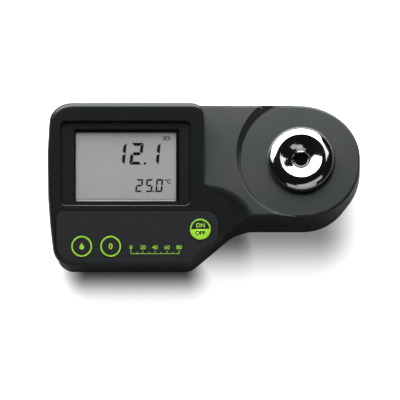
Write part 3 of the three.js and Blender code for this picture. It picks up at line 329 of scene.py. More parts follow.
def solderMask():
    # Glass-epoxy board under green solder mask: glossy green with paler lines of copper below
    material, tree, place, shader = startFinish("solderMask", "1f5a36", 0.4)
    tracks = addNode(tree, "TexBrick", {
        "Vector": place, "Scale": perMillimetre(9), "Mortar Size": 0.03, "Mortar": colour("2d7a4a"),
        "Color1": colour("1c5131"), "Color2": colour("1f5a36"),
    })
    feed(shader, {"Base Color": tracks})
    return material


def batteryJacket():
    # Lacquered steel jacket: dark grey with one paler band round the terminal end
    jacket, bandColour, bandWidth = "3c3f46", "a8752c", 14
    material, tree, place, shader = startFinish("batteryJacket", jacket, 0.3, {"Metallic": 0.6})
    split = addNode(tree, "SeparateXYZ", {"Vector": place})
    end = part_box("battery")[1].x - bandWidth * mm
    band = addNode(tree, "Math", {0: split.outputs["X"], 1: end}, operation="GREATER_THAN")
    shade = addNode(tree, "Mix", {0: band, "A": colour(jacket), "B": colour(bandColour)}, data_type="RGBA")
    feed(shader, {"Base Color": shade})
    return material


finishes = {
    "upperAbs": mouldedAbs("upperMouldedAbs", "0d0f0f", "131414", 0.28, 0.37),
    "lowerAbs": mouldedAbs("lowerMouldedAbs", "1d1d1b", "22221f", 0.42, 0.52),
    # Moulded nitrile rubber: dull black with a dusty bloom
    "rubber": makeFinish("mouldedRubber", "141414", 0.85, 2.5, tones=("101010", "1e1d1c"),
                         relief=(0.3, 0.05), detail=4),
    # Cast acrylic window: clear, with a smooth gloss and a trace of haze
    "acrylic": makeFinish("castAcrylic", "0e0e0e", 0.06, 30, {"IOR": 1.49, "Alpha": 0.06},
                          gloss=(0.04, 0.1)),
    "borderInk": screenPrint("windowBorderInk", "121313", "1c1a17", 0.5, 0.22),
    # Liquid-crystal glass over a grey reflector: flat pale grey with a fine silvery speckle
    "display": makeFinish("reflectiveDisplay", "a2a2a2", 0.4, 0.7, tones=("999999", "a1a1a1")),
    # Display glass in pale grey: the strip of it that shows below the polariser is a painted highlight of
    # its lit edge
    "displayEdgeHighlight": plainMoulding("groundGlassEdgeHighlight", "c8c8c6", "d6d6d4", 0.3),
    "displayMask": screenPrint("displayMask", "050505", "080808", 0.6, 0.06),
    "segments": screenPrint("liquidCrystal", "101113", "16171a", 0.6, 0.1),
    # Velvet-textured polycarbonate film: dark grey, with a fine pale speckle that keeps it matt
    "keypad": makeFinish("texturedPolycarbonate", "0b0d0f", 0.55, 0.55,
                         {"IOR": 1.58, "Specular IOR Level": 0.25}, tones=("0b0d0f", "1e2124"),
                         contrast=(0.35, 0.65), relief=(0.3, 0.015), detail=1),
    "greenInk": screenPrint("greenInk", "85bd2c", "8cc436", 0.5, 0.3),
    "darkInk": screenPrint("darkInk", "101213", "161819", 0.5, 0.15),
    "steel": polishedSteel(),
    # Polished flint glass over a dark chamber: black, with a hard clean gloss
    "prism": makeFinish("opticalGlass", "050505", 0.02, 3, {"IOR": 1.72}, gloss=(0.01, 0.05), detail=1),
    # Zinc-plated steel: pale grey metal with a soft spangle
    "zinc": makeFinish("zincPlate", "b4b6b8", 0.35, 0.8, {"Metallic": 1.0}, gloss=(0.28, 0.42),
                       texture="TexVoronoi", detail=0),
    # Cold-rolled spring steel: bright, with fine rolling lines
    "springSteel": makeFinish("springSteel", "c8c8c8", 0.28, 4, {"Metallic": 1.0}, gloss=(0.2, 0.36),
                              stretch=(1, 20, 1), detail=3),
    "board": solderMask(),
    "blackMoulding": plainMoulding("glassFilledNylon", "1a1b1c", "202122", 0.55),
    "epoxy": plainMoulding("chipEpoxy", "161617", "1c1c1d", 0.45),
    "lampEpoxy": plainMoulding("amberEpoxy", "e0a83c", "f0bc50", 0.15),
    "film": plainMoulding("polyesterFilm", "2a2f33", "343a3e", 0.3),
    "cable": plainMoulding("cablePlastic", "7c1b18", "8e2420", 0.5),
    "battery": batteryJacket(),
}
print("finishes made:", len(finishes))


# Shapes: every piece starts from a rounded plate or a turned section
def roundOff(bm, geom, offset, segments, affect="EDGES"):
    bmesh.ops.bevel(bm, geom=geom, offset=offset * mm, offset_type="OFFSET", segments=segments,
                    profile=0.5, affect=affect, clamp_overlap=False, material=-1)


def roundCorners(bm, verts, radii, arcStep=4):
    # Each corner is cut back along its two edges by the length where a round of that radius begins
    jobs = []
    for i, (vert, radius) in enumerate(zip(verts, radii)):
        if radius:
            into = (vert.co - verts[i - 1].co).normalized()
            out = (verts[(i + 1) % len(verts)].co - vert.co).normalized()
            turn = into.angle(out)
            jobs.append((vert, radius * math.tan(turn / 2), max(3, round(math.degrees(turn) / arcStep))))
    for vert, cut, segments in jobs:
        roundOff(bm, [vert], cut, segments, "VERTICES")


def roundedPlate(bm, corners, level):
    # corners are (x, y, radius) in mm, anticlockwise
    verts = [bm.verts.new(millimetres(x, y, level)) for x, y, _ in corners]
    known = set(bm.faces)
    bm.faces.new(verts)
    roundCorners(bm, verts, [corner[2] for corner in corners])
    return next(face for face in bm.faces if face not in known)


def raisePlate(bm, plate, rise, drawIn=0.0):
    # The plate is lifted and drawn in, which leaves a wall below it
    bm.normal_update()
    bmesh.ops.inset_region(bm, faces=[plate], thickness=drawIn * mm, depth=rise * mm, use_boundary=True,
                           use_even_offset=True)


def shrinkPlate(bm, plate, by):
    # The plate gets smaller, and the flat margin that this leaves round it goes
    raisePlate(bm, plate, 0, by)
    bmesh.ops.delete(bm, geom=[f for f in bm.faces if f is not plate], context="FACES")


def closeHoles(bm, edges=None):
    known = set(bm.faces)
    bmesh.ops.holes_fill(bm, edges=edges or [e for e in bm.edges if e.is_boundary], sides=0)
    return [face for face in bm.faces if face not in known]


def cutOff(bm, point, direction):
    # Takes off what lies beyond a plane, and leaves the cut open
    bmesh.ops.bisect_plane(bm, geom=bm.verts[:] + bm.edges[:] + bm.faces[:], plane_co=point,
                           plane_no=direction, clear_outer=True)


def edgedPlate(corners, low, high, edge):
    # A plate with a small bevel round its top
    bm = bmesh.new()
    plate = roundedPlate(bm, corners, low)
    raisePlate(bm, plate, high - low - edge)
    raisePlate(bm, plate, edge, edge)
    closeHoles(bm)
    return bm


def extrudedPlate(bm, corners, low, high):
    raisePlate(bm, roundedPlate(bm, corners, low), high - low)
    closeHoles(bm)


def spinRound(bm, steps):
    bmesh.ops.spin(bm, geom=list(bm.verts) + list(bm.edges), angle=math.tau, steps=steps, axis=(0, 0, 1),
                   cent=(0, 0, 0), use_merge=True)
    bmesh.ops.remove_doubles(bm, verts=bm.verts, dist=0.001 * mm)


def turned(corners, spot=(0, 0), base=0.0, steps=96, arcStep=9):
    # corners are (radius, height, rounding) in mm; the section is spun round an upright axis at the spot
    bm = bmesh.new()
    verts = [bm.verts.new(millimetres(r, 0, z)) for r, z, *_ in corners]
    bm.faces.new(verts)
    roundCorners(bm, verts, [c[2] if len(c) > 2 else 0 for c in corners], arcStep)
    bmesh.ops.delete(bm, geom=list(bm.faces), context="FACES_ONLY")
    onAxis = [e for e in bm.edges if all(abs(v.co.x) < 1e-7 for v in e.verts)]
    bmesh.ops.delete(bm, geom=onAxis, context="EDGES")
    spinRound(bm, steps)
    shift(bm, *spot, base)
    return bm


def tube(inner, outer, low, high, spot=(0, 0), steps=96):
    return turned([(inner, low), (outer, low), (outer, high), (inner, high)], spot, steps=steps)


def fromMesh(mesh):
    bm = bmesh.new()
    bm.from_mesh(mesh)
    return bm


def addMesh(bm, other):
    mesh = bpy.data.meshes.new("part")
    other.to_mesh(mesh)
    other.free()
    bm.from_mesh(mesh)
    bpy.data.meshes.remove(mesh)


def area(left, right, front, back, radius):
    return [(left, front, radius), (right, front, radius), (right, back, radius), (left, back, radius)]


def place(bm, matrix):
    bmesh.ops.transform(bm, matrix=matrix, verts=bm.verts)


def shift(bm, x, y, z=0.0):
    bmesh.ops.translate(bm, vec=millimetres(x, y, z), verts=bm.verts)


def toObject(bm, name):
    bmesh.ops.recalc_face_normals(bm, faces=bm.faces)
    return meshObject(bm, name)


def finishedMesh(obj):
    bpy.context.view_layer.update()
    return bpy.data.meshes.new_from_object(obj.evaluated_get(bpy.context.evaluated_depsgraph_get()))


def fromCurve(curve):
    # Words and drawn profiles become a mesh before they are placed
    obj = addObject(curve.name, curve)
    mesh = finishedMesh(obj)
    bpy.data.objects.remove(obj)
    bpy.data.curves.remove(curve)
    bm = fromMesh(mesh)
    bpy.data.meshes.remove(mesh)
    return bm


def applyModifiers(obj):
    mesh = finishedMesh(obj)
    old = obj.data
    obj.modifiers.clear()
    obj.data = mesh
    bpy.data.meshes.remove(old)


def combine(target, tool, operation):
    modifier = target.modifiers.new(operation, "BOOLEAN")
    modifier.operation = operation
    modifier.solver = "MANIFOLD"
    modifier.object = tool
    applyModifiers(target)
    mesh = tool.data
    bpy.data.objects.remove(tool)
    bpy.data.meshes.remove(mesh)


def cutAway(target, bm):
    combine(target, toObject(bm, "cutter"), "DIFFERENCE")


def nodeSolid(name):
    # A joined-up copy of a node, for the parts of it that no one sees
    bm = fromMesh(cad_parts[name].data)
    bmesh.ops.remove_doubles(bm, verts=bm.verts, dist=0.0005 * mm)
    return meshObject(bm, name + "_copy")


def finishPiece(obj, finish, slot, replaced=(), body="case", sharpAngle=32, weighted=False):
    mesh = obj.data
    mesh.materials.clear()
    mesh.materials.append(finishes[finish])
    for face in mesh.polygons:
        face.use_smooth = True
        face.material_index = 0
    mesh.set_sharp_from_angle(angle=math.radians(sharpAngle))
    if weighted:
        normals = obj.modifiers.new("weightedNormals", "WEIGHTED_NORMAL")
        normals.keep_sharp = True
        normals.weight = 80
    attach(obj, body)
    if replaced:
        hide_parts(*replaced)


def piece(bm, name, *finishing, **others):
    finishPiece(toObject(bm, name), *finishing, **others)


# Housing sizes in mm, as the case is moulded
case = {
    "left": -96.0, "right": 96.0, "front": -51.0, "back": 51.0,
    "base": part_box("upper_case")[0].z / mm, "seam": 29.0, "floor": 1.0,
    "neck": 50.0, "deck": 48.0, "faceTilt": 20.5, "faceCrossY": -5.2,
    "frontSetIn": 5.2, "backSetIn": 2.6, "bow": 1.6, "bowY": 4.0,
    "blockEnd": 1.8, "blockEndTaper": 1.5, "headFront": -25.3,
    "diagonalFrom": -6.1, "diagonalAngle": 41.2,
    "cornerRadius": 12.0, "backLeftRadius": 14.5, "blockEndRadius": 8.6, "neckFillet": 20.0,
    "headFrontRadius": 35.0, "headBackRadius": 38.0,
    "draft": math.tan(math.radians(1.0)), "backLean": math.tan(math.radians(12.5)), "leanStart": 10.0,
    "neckRim": 1.2, "headRim": 1.3, "frontRim": 2.5, "backRim": 3.8, "endRim": 1.3, "endRimReach": 9.0,
    "rampX": 0.0, "rampY": -40.0, "rampRadius": 33.5, "rampAngle": 33.0, "rampRound": 6.0,
    "bandRadius": 36.8, "bandFlare": 2.8, "bandRound": 0.9,
    "bandWiden": 3.0, "bandWidestAt": 118.0, "bandNarrow": 1.4, "bandNarrowestAt": 250.0,  # azimuths
    "wellBore": 15.8, "lowerTaper": 5.0, "lowerEdge": 3.0,
    "buriedReach": 34.8, "buriedAngle": math.radians(55),  # the block's hidden corner, seen from the ramp
    "endCorner": (0.65, 0.8),  # how far it stands in front of the ramp's rim, and its radius
}
hidden = 5  # radius of corners that are buried in another part of the case
aboveAll = 80  # a height that nothing reaches
hair = 0.02  # how far a cutter stays off a face that it would otherwise share, mm
faceMatrix = (Matrix.Translation(millimetres(0, case["faceCrossY"], case["neck"]))
              @ Matrix.Rotation(math.radians(case["faceTilt"]), 4, "X"))
faceNormal = faceMatrix.to_3x3() @ Vector((0, 0, 1))
well = Vector(nodeMiddle("well_ring"))
diagonalSlope = math.tan(math.radians(case["diagonalAngle"]))
neckCornerX = case["diagonalFrom"] + (case["headFront"] - case["front"]) / diagonalSlope
insideBlock = case["blockEnd"] - 15  # where the neck and the head begin, hidden in the block


def onDiagonal(x, radius=hidden):
    return x, case["front"] + (x - case["diagonalFrom"]) * diagonalSlope, radius


def bowRadius(before, corner, after, reach):
    # Radius of the long arc that passes the given distance inside a very blunt corner
    turn = (Vector(corner) - Vector(before)).angle(Vector(after) - Vector(corner))
    return reach / (1 / math.cos(turn / 2) - 1)


frontLeft = (case["left"] + case["frontSetIn"], case["front"], case["cornerRadius"])
frontMiddle = (case["diagonalFrom"], case["front"], case["cornerRadius"])
backLeft = (case["left"] + case["backSetIn"], case["back"], case["backLeftRadius"])
bowPoint = (case["left"] - case["bow"], case["bowY"])
bowedSide = (*bowPoint, bowRadius(backLeft[:2], bowPoint, frontLeft[:2], case["bow"]))
neckFront = (neckCornerX, case["headFront"], case["neckFillet"])
headFrontEnd = (case["right"], case["headFront"], case["headFrontRadius"])
headBackEnd = (case["right"], case["back"], case["headBackRadius"])
caseOutline = [frontLeft, frontMiddle, neckFront, headFrontEnd, headBackEnd, backLeft, bowedSide]


def walls(bm, outline, low, high, inset=0.0):
    plate = roundedPlate(bm, outline, low)
    if inset:
        shrinkPlate(bm, plate, inset)
    rise = high - low
    raisePlate(bm, plate, rise, rise * case["draft"])
    reach = case["back"] - case["leanStart"]
    for vert in plate.verts:
        ahead = max(0, vert.co.y / mm - case["leanStart"]) / reach
        vert.co.y -= case["backLean"] * rise * ahead * mm
    return plate


def levelMass(name, outline, low, high, rim=0, inset=0):
    bm = bmesh.new()
    top = walls(bm, outline, low, high, inset)
    closeHoles(bm)
    if rim:
        roundOff(bm, list(top.edges), rim, 5)
    return toObject(bm, name)


skin = 1.2  # the modelled outer skin, mm; inside it the shell keeps the node's own walls and bosses
# How much further in the inside stands, mm, and how its corners beside the neck are set in
slack = {"block": 1.3, "head": 0.6, "face": 0.4, "neck": 22, "rampEnd": (4.5, 4), "blockEnd": 5, "corner": 3}


def innerMass(low):
    nearNeck = onDiagonal(neckCornerX - slack["neck"], slack["corner"])
    setIn, setBack = slack["rampEnd"]
    drop = skin / math.cos(math.radians(case["faceTilt"])) + slack["face"]
    bm = bmesh.new()
    walls(bm, [
        frontLeft, frontMiddle, nearNeck,
        (case["blockEnd"] - setIn, case["rampY"] + case["rampRadius"] - setBack, slack["corner"]),
        (case["blockEnd"] - slack["blockEnd"], case["back"], case["blockEndRadius"]), backLeft, bowedSide,
    ], low, aboveAll, skin + slack["block"])
    cutOff(bm, faceMatrix.translation - Vector((0, 0, drop)) * mm, faceNormal)
    closeHoles(bm)
    inner = toObject(bm, "inner")
    head = levelMass("inner_head", [
        nearNeck, neckFront, headFrontEnd, headBackEnd, (insideBlock, case["back"], hidden),
    ], low, case["deck"] - skin, inset=skin + slack["head"])
    ramp = rampCutter()
    shift(ramp, 0, 0, -skin - slack["head"])
    cutAway(head, ramp)
    combine(inner, head, "UNION")
    return inner


def hollowOut(shell, inner, node):
    # Everything inside the skin that is air in the node becomes air in the shell
    combine(inner, nodeSolid(node), "DIFFERENCE")
    combine(shell, inner, "DIFFERENCE")


def displayBlock():
    # One corner is buried in the neck, just outside the rim of the ramp
    setIn, radius = case["endCorner"]
    buriedX = case["rampX"] + case["buriedReach"] * math.cos(case["buriedAngle"])
    buriedY = case["rampY"] + case["buriedReach"] * math.sin(case["buriedAngle"])
    bm = bmesh.new()
    walls(bm, [
        frontLeft, frontMiddle, onDiagonal(buriedX), (buriedX, buriedY, hidden),
        (case["blockEnd"], case["rampY"] + case["rampRadius"] - setIn, radius),
        (case["blockEnd"] - case["blockEndTaper"], case["back"], case["blockEndRadius"]),
        backLeft, bowedSide,
    ], case["base"], aboveAll)
    cutOff(bm, faceMatrix.translation, faceNormal)
    upper = [e for e in bm.edges if e.is_boundary and e.verts[0].co.z > (case["base"] + 1) * mm]
    top = closeHoles(bm, upper)[0]
    # The rim grows from front to back, and fades where the block ends against the neck
    weights = bm.edges.layers.float.new("bevel_weight_edge")
    reach = case["endRimReach"]
    for edge in top.edges:
        along = (sum(v.co.y for v in edge.verts) / 2 / mm - case["front"]) / (case["back"] - case["front"])
        width = case["frontRim"] + (case["backRim"] - case["frontRim"]) * along ** 2
        atEnd = max(0, sum(v.co.x for v in edge.verts) / 2 / mm - case["blockEnd"] + reach) / reach
        edge[weights] = (width + (case["endRim"] - width) * min(1, atEnd)) / case["backRim"]
    closeHoles(bm)
    block = toObject(bm, "block")
    rim = block.modifiers.new("rim", "BEVEL")
    rim.limit_method = "WEIGHT"
    rim.width = case["backRim"] * mm
    rim.segments = 8
    rim.profile = 0.5
    rim.use_clamp_overlap = False
    applyModifiers(block)
    return block


def rampCutter():
    # A funnel whose rim is rounded into the level of the neck
    radius, depth, margin, above = case["rampRadius"], 20, 12, 3
    slope = math.tan(math.radians(case["rampAngle"]))
    return turned([
        (0, -depth), (radius - depth / slope, -depth), (radius, 0, case["rampRound"]),
        (radius + margin, hair), (radius + margin, above), (0, above),
    ], (case["rampX"], case["rampY"]), case["neck"], steps=128, arcStep=4)


def bandCutter():
    # The floor is cut a hair below the deck, so that the deck's own top is what shows
    drop, margin, above = case["neck"] - case["deck"] + hair, 4, 3
    inner, outer = case["bandRadius"], case["bandRadius"] + case["bandFlare"]
    bm = turned([
        (0, -drop), (inner, -drop, case["bandRound"]), (outer, 0, case["bandRound"]),
        (outer + margin, hair), (outer + margin, above), (0, above),
    ], steps=192, arcStep=6)
    angles = [math.radians(case["bandWidestAt"]), math.radians(case["bandNarrowestAt"])]
    widest, narrowest = (Vector((math.cos(angle), math.sin(angle), 0)) for angle in angles)
    for vert in bm.verts:
        outwards = Vector((vert.co.x, vert.co.y, 0))
        beyond = outwards.length / mm - inner + case["bandRound"]
        if beyond > 0:
            outwards.normalize()
            wider = case["bandWiden"] * max(0, outwards.dot(widest)) ** 4
            wider -= case["bandNarrow"] * max(0, outwards.dot(narrowest)) ** 2
            vert.co += outwards * wider * min(1, beyond / case["bandFlare"]) * mm
    shift(bm, *well, case["neck"])
    return bm


# How the masses run into one another: the neck starts at a share of the diagonal, the head in mm from the
# neck's corner and from the well. Nothing of the neck stays over the face: front, back, low and high in mm.
joins = {"neckStart": 0.25, "headFront": 5, "headBack": 48, "overFace": (-49, 0.3, -0.3, 30), "endGap": 0.05}


def upperMass():
    block = displayBlock()
    start = case["diagonalFrom"] + (neckCornerX - case["diagonalFrom"]) * joins["neckStart"]
    neck = levelMass("neck", [
        onDiagonal(start), neckFront,
        (well.x, case["headFront"], hidden), (well.x, case["back"], hidden),
        (insideBlock, case["back"], hidden), (insideBlock, case["rampY"] + case["rampRadius"] / 2, hidden),
    ], case["base"], case["neck"], case["neckRim"])
    cutAway(neck, rampCutter())
    cutAway(neck, bandCutter())
    front, back, low, high = joins["overFace"]
    overFace = area(case["left"], case["blockEnd"] - joins["endGap"], front, back, 0)
    cutAway(neck, facePlate(overFace, low, high))
    head = levelMass("head", [
        (neckCornerX + joins["headFront"], case["headFront"], hidden), headFrontEnd, headBackEnd,
        (well.x - joins["headBack"], case["back"], hidden),
    ], case["base"], case["deck"], case["headRim"])
    combine(block, neck, "UNION")
    combine(block, head, "UNION")
    return block


# Window and keypad lie on the sloped face. An area is its left, right, front and back in mm, across and up
# the slope; the keypad's corners are given anticlockwise from the front left, the cut one as two.
window = {"area": (-87.5, -8.0, -12.3, 39.3), "radius": 3.7, "recess": 2.2, "ledge": 1.8}
keypad = {"area": (-90.0, 9.1, -47.0, -16.3), "radii": (10, 4, 4, 7, 4), "cutRun": 17.4, "cutRise": 16.6,
          "cutTurn": 22, "recess": 2.6, "gap": 0.3}
mouthLip = 0.6


def grown(spec, by=0):
    left, right, front, back = spec["area"]
    return area(left - by, right + by, front - by, back + by, max(spec["radius"] + by, 0.2))


def keypadOutline(by):
    # The two ends of the cut corner move along it as the outline grows
    left, right, front, back = keypad["area"]
    slide = by * math.tan(math.radians(keypad["cutTurn"]))
    cutX, cutY = right - keypad["cutRun"] + slide, front + keypad["cutRise"] - slide
    spots = [(left - by, front - by), (cutX, front - by), (right + by, cutY), (right + by, back + by),
             (left - by, back + by)]
    return [(*spot, radius + by) for spot, radius in zip(spots, keypad["radii"])]


def facePlate(corners, low, high):
    bm = bmesh.new()
    extrudedPlate(bm, corners, low, high)
    place(bm, faceMatrix)
    return bm


def roundMouths(obj):
    # The mouths of both pockets in the face get the small round that a moulded edge has
    bm = fromMesh(obj.data)
    bm.normal_update()
    toFace = faceMatrix.inverted()
    near, steep = 0.004 * mm, math.radians(60)
    mouth = []
    for edge in bm.edges:
        level = all(abs((toFace @ v.co).z) < near for v in edge.verts)
        if level and len(edge.link_faces) == 2 and edge.calc_face_angle(0) > steep:
            mouth.append(edge)
    roundOff(bm, mouth, mouthLip, 3)
    bm.to_mesh(obj.data)
    bm.free()


def makeUpperShell():
    shell = upperMass()
    shell.name = "upper_shell"
    hollowOut(shell, innerMass(case["base"] - 1), "upper_case")
    above, through = 5, -9
    cutAway(shell, facePlate(grown(window), -window["recess"], above))
    cutAway(shell, facePlate(grown(window, -window["ledge"]), through, above))
    cutAway(shell, facePlate(keypadOutline(keypad["gap"]), -keypad["recess"], above))
    roundMouths(shell)
    cutAway(shell, tube(0, case["wellBore"], case["seam"] + 6, case["neck"] + 10, well, 64))
    finishPiece(shell, "upperAbs", "upper_case_abs", ["upper_case"], weighted=True)


makeUpperShell()
print("upper shell made")


def lowerMass(top, floor, inset, edge):
    rise = case["seam"] - case["floor"]
    bm = bmesh.new()
    plate = roundedPlate(bm, caseOutline, top)
    shrinkPlate(bm, plate, inset + case["lowerTaper"] * (case["seam"] - top) / rise)
    drop = top - floor
    raisePlate(bm, plate, -drop, case["lowerTaper"] * drop / rise)
    roundOff(bm, list(plate.edges), edge, 6)
    closeHoles(bm)
    return bm


# Underside: seats for the feet, wells for the case screws and the battery opening
# (radius and top of each in mm), and how far their mouths flare
underside = {"foot": (6.3, 2.2), "screw": (3.16, 18.0), "door": (31.3 + hair, 3.6), "mouth": 0.3}
bay = nodeMiddle("battery_cover")
footNames = [f"foot_{i}" for i in range(1, 5)]
caseScrewNames = [f"case_screw_{i}" for i in range(1, 7)]


def roundPocket(radius, top, middle, steps=64):
    # A round hole up into the underside, its mouth slightly flared
    mouth = underside["mouth"]
    return turned([
        (0, 0), (radius + mouth * 2, 0), (radius + mouth, case["floor"]),
        (radius, case["floor"] + mouth), (radius, top), (0, top),
    ], middle, steps=steps)


def makeLowerShell():
    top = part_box("lower_case")[1].z / mm
    shell = toObject(lowerMass(top, case["floor"], 0, case["lowerEdge"]), "lower_shell")
    hollow = lowerMass(case["seam"] + 1, case["floor"] + skin, skin, case["lowerEdge"] - skin)
    hollowOut(shell, toObject(hollow, "inner"), "lower_case")
    for name in footNames:
        cutAway(shell, roundPocket(*underside["foot"], nodeMiddle(name)))
    for name in caseScrewNames:
        cutAway(shell, roundPocket(*underside["screw"], nodeMiddle(name), 48))
    cutAway(shell, roundPocket(*underside["door"], bay, 160))
    finishPiece(shell, "lowerAbs", "lower_case_abs", ["lower_case"], weighted=True)


makeLowerShell()
print("lower shell made")


# Window: a clear pane with a dark border printed behind it, and the display below its opening
pane = {"gap": 0.8, "low": -1.9, "high": -0.9, "edge": 0.15, "inkLow": -2.2}
inkOpening = {"area": (-79.2, -14.7, -10.7, 34.2), "radius": 0.9}
# The display's black mask is a real print, but its band is widest at the top and right, where it also stands
# in for the shade that the window's edge casts: partly painted shade
bezelAndShade = {"area": (-80.8, -14.3, -11.8, 35.1), "radius": 0.6, "low": -4.98, "high": -4.72,
         "open": {"area": (-78.2, -16.8, -10.1, 31.9), "radius": 0.5}}
# The glass reaches past the polariser at the front, where its pale colour shows as a painted highlight along
# the display's lower edge
glassLower = {"area": (-80.9, -14.6, -12.1, 35.2), "radius": 0.5, "low": -7.6, "high": -6.4}
glassUpper = {"area": (-80.9, -14.6, -11.3, 35.2), "radius": 0.5, "low": -6.4, "high": -5.2}
polariser = {"area": (-80.3, -15.2, -9.0, 34.6), "radius": 0.3, "low": -5.2, "high": -5.0}


def framePlate(outer, opening, low, high, name):
    bm, inside = bmesh.new(), bmesh.new()
    extrudedPlate(bm, outer, low, high)
    extrudedPlate(inside, opening, low - 1, high + 1)
    obj = toObject(bm, name)
    cutAway(obj, inside)
    obj.data.transform(faceMatrix)
    return obj


def makeWindow():
    bm = edgedPlate(grown(window, -pane["gap"]), pane["low"], pane["high"], pane["edge"])
    place(bm, faceMatrix)
    piece(bm, "window_pane", "acrylic", "window_acrylic", ["display_window"])
    ink = framePlate(grown(window, -pane["gap"] - 0.1), grown(inkOpening), pane["inkLow"],
                     pane["low"] - 0.01, "window_border")
    ink.visible_shadow = False  # so thin a print leaves the display evenly lit
    finishPiece(ink, "borderInk", "window_acrylic")
    mask = framePlate(grown(bezelAndShade), grown(bezelAndShade["open"]), bezelAndShade["low"], bezelAndShade["high"], "display_bezel_and_shade")
    finishPiece(mask, "displayMask", "black_plastic")


def makeDisplay():
    for spec, name, finish, replaced in (
            (glassLower, "display_glass_lower", "displayEdgeHighlight", ["lcd_panel"]),
            (glassUpper, "display_glass_upper", "displayEdgeHighlight", ()),
            (polariser, "display_polariser", "display", ())):
        piece(facePlate(grown(spec), spec["low"], spec["high"]), name, finish, "display_glass", replaced)


# Reading on the display: seven-bar figures that lean to the right
reading = {
    "lean": 0.1, "level": -5.0, "thickness": 0.03,
    "large": {"words": "12.1", "left": -55.8, "base": 12.2, "height": 13.4, "width": 7.5, "pitch": 10.4,
              "stroke": 1.9, "gap": 0.16, "pointSize": 1.4, "pointShift": 2.9},
    "small": {"words": "25.0", "left": -41.9, "base": -4.6, "height": 8.0, "width": 4.2, "pitch": 6.15,
              "stroke": 1.05, "gap": 0.09, "pointSize": 0.9, "pointShift": 1.3},
}
figureBars = {"0": "abcdef", "1": "bc", "2": "abdeg", "5": "acdfg"}


def displayPlate(bm, corners):
    extrudedPlate(bm, corners, reading["level"], reading["level"] + reading["thickness"])


def displayBar(bm, start, end, outside, spec):
    # One bar: its outer side runs into the corners of the figure, its inner side is mitred at both ends
    half = spec["stroke"] / 2
    along = (Vector(end) - Vector(start)).normalized()
    start, end = Vector(start) + along * spec["gap"], Vector(end) - along * spec["gap"]
    aside = Vector((along.y, -along.x)) * half
    tips = [start, start + along * half + aside, end - along * half + aside,
            end, end - along * half - aside, start + along * half - aside]
    if outside:
        tips[1] -= along * half * (1 + outside[0])
        tips[2] += along * half * (1 + outside[1])
        tips = tips[1:3] + tips[4:]
    displayPlate(bm, [(tip.x + (tip.y - spec["base"]) * reading["lean"], tip.y, 0) for tip in tips])


def displayFigures(bm, spec):
    half = spec["stroke"] / 2
    bottom, top = spec["base"] + half, spec["base"] + spec["height"] - half
    middle = (bottom + top) / 2
    cell = 0
    for sign in spec["words"]:
        left = spec["left"] + cell * spec["pitch"] + half
        right = left + spec["width"] - spec["stroke"]
        if sign == ".":
            dotX = left - spec["pitch"] + spec["width"] + spec["pointShift"] - half * 2
            dot = spec["pointSize"]
            displayPlate(bm, area(dotX - dot / 2, dotX + dot / 2, spec["base"], spec["base"] + dot, 0.15))
            continue
        bars = {
            # start, end, and how far the outer side runs past each: 1 to a corner, 0 to the middle
            "a": ((right, top), (left, top), (1, 1)), "b": ((right, middle), (right, top), (0, 1)),
            "c": ((right, bottom), (right, middle), (1, 0)), "d": ((left, bottom), (right, bottom), (1, 1)),
            "e": ((left, middle), (left, bottom), (0, 1)), "f": ((left, top), (left, middle), (1, 0)),
            "g": ((left, middle), (right, middle), None),
        }
        for letter in figureBars[sign]:
            displayBar(bm, *bars[letter], spec)
        cell += 1


def letters(words, height, x, y, low, high, bold):
    # The words are set to their height and centred on the spot, all in mm
    text = bpy.data.curves.new("letters", "FONT")
    text.body = words
    text.extrude = 0.5
    text.offset = bold
    text.resolution_u = 6
    bm = fromCurve(text)
    bmesh.ops.remove_doubles(bm, verts=bm.verts, dist=0.0001)
    xs = [v.co.x for v in bm.verts]
    ys = [v.co.y for v in bm.verts]
    scale = height / (max(ys) - min(ys)) * mm
    middle = Vector(((min(xs) + max(xs)) / 2, (min(ys) + max(ys)) / 2, 0))
    place(bm, Matrix.Translation(millimetres(x, y, (low + high) / 2))
          @ Matrix.Diagonal((scale, scale, (high - low) * mm, 1)) @ Matrix.Translation(-middle))
    return bm


def makeReading():
    bm = bmesh.new()
    displayFigures(bm, reading["large"])
    displayFigures(bm, reading["small"])
    level = reading["level"]
    unit = letters("°C", 2.8, -22.0, 2.0, level, level + reading["thickness"], 0.03)
    place(unit, Matrix.Shear("XZ", 4, (reading["lean"], 0)))
    addMesh(bm, unit)
    # A small battery sign in the top corner: left, right, front and back of each bar
    for bar in ((-24.8, -20.9, 29.2, 29.6), (-24.8, -20.9, 27.1, 27.5), (-24.8, -24.4, 27.5, 29.2),
                (-21.3, -20.9, 27.5, 29.2), (-20.9, -20.3, 27.9, 28.8), (-24.0, -22.4, 27.9, 28.8)):
        displayPlate(bm, area(*bar, 0))
    place(bm, faceMatrix)
    piece(bm, "display_figures", "segments", "display_glass")


makeWindow()
makeDisplay()
makeReading()
print("window and display made")


# Keypad: one printed film with three round keys that stand level with it
film = {"low": -0.65, "high": -0.1, "edge": 0.12, "keyHole": 6.85}
keyTop = {"radius": 6.55, "low": -0.65, "high": 0.15, "round": 0.14, "ringOuter": 6.38, "ringInner": 5.45,
          "inkLow": 0.14, "inkHigh": 0.18}
keys = {
    "read_key": {"spot": (-74.5, -37.5), "slot": "key_film"},
    "zero_key": {"spot": (-56.8, -37.5), "slot": "key_film"},
    "power_key": {"spot": (-2.0, -27.0), "slot": "power_key_film"},
}
drop = {"radius": 1.5, "down": 0.5, "narrower": 0.75, "taller": 0.75}
tickScale = {"left": -44.4, "right": -15.0, "base": -42.2, "numbers": [0, 20, 40, 60, 80],
             "numberHeight": 2.5, "numberRise": 2.1, "longTick": 2.0, "shortTick": 1.2, "line": 0.3,
             "halfTick": 0.16, "overrun": 0.15, "ticksEach": 2}


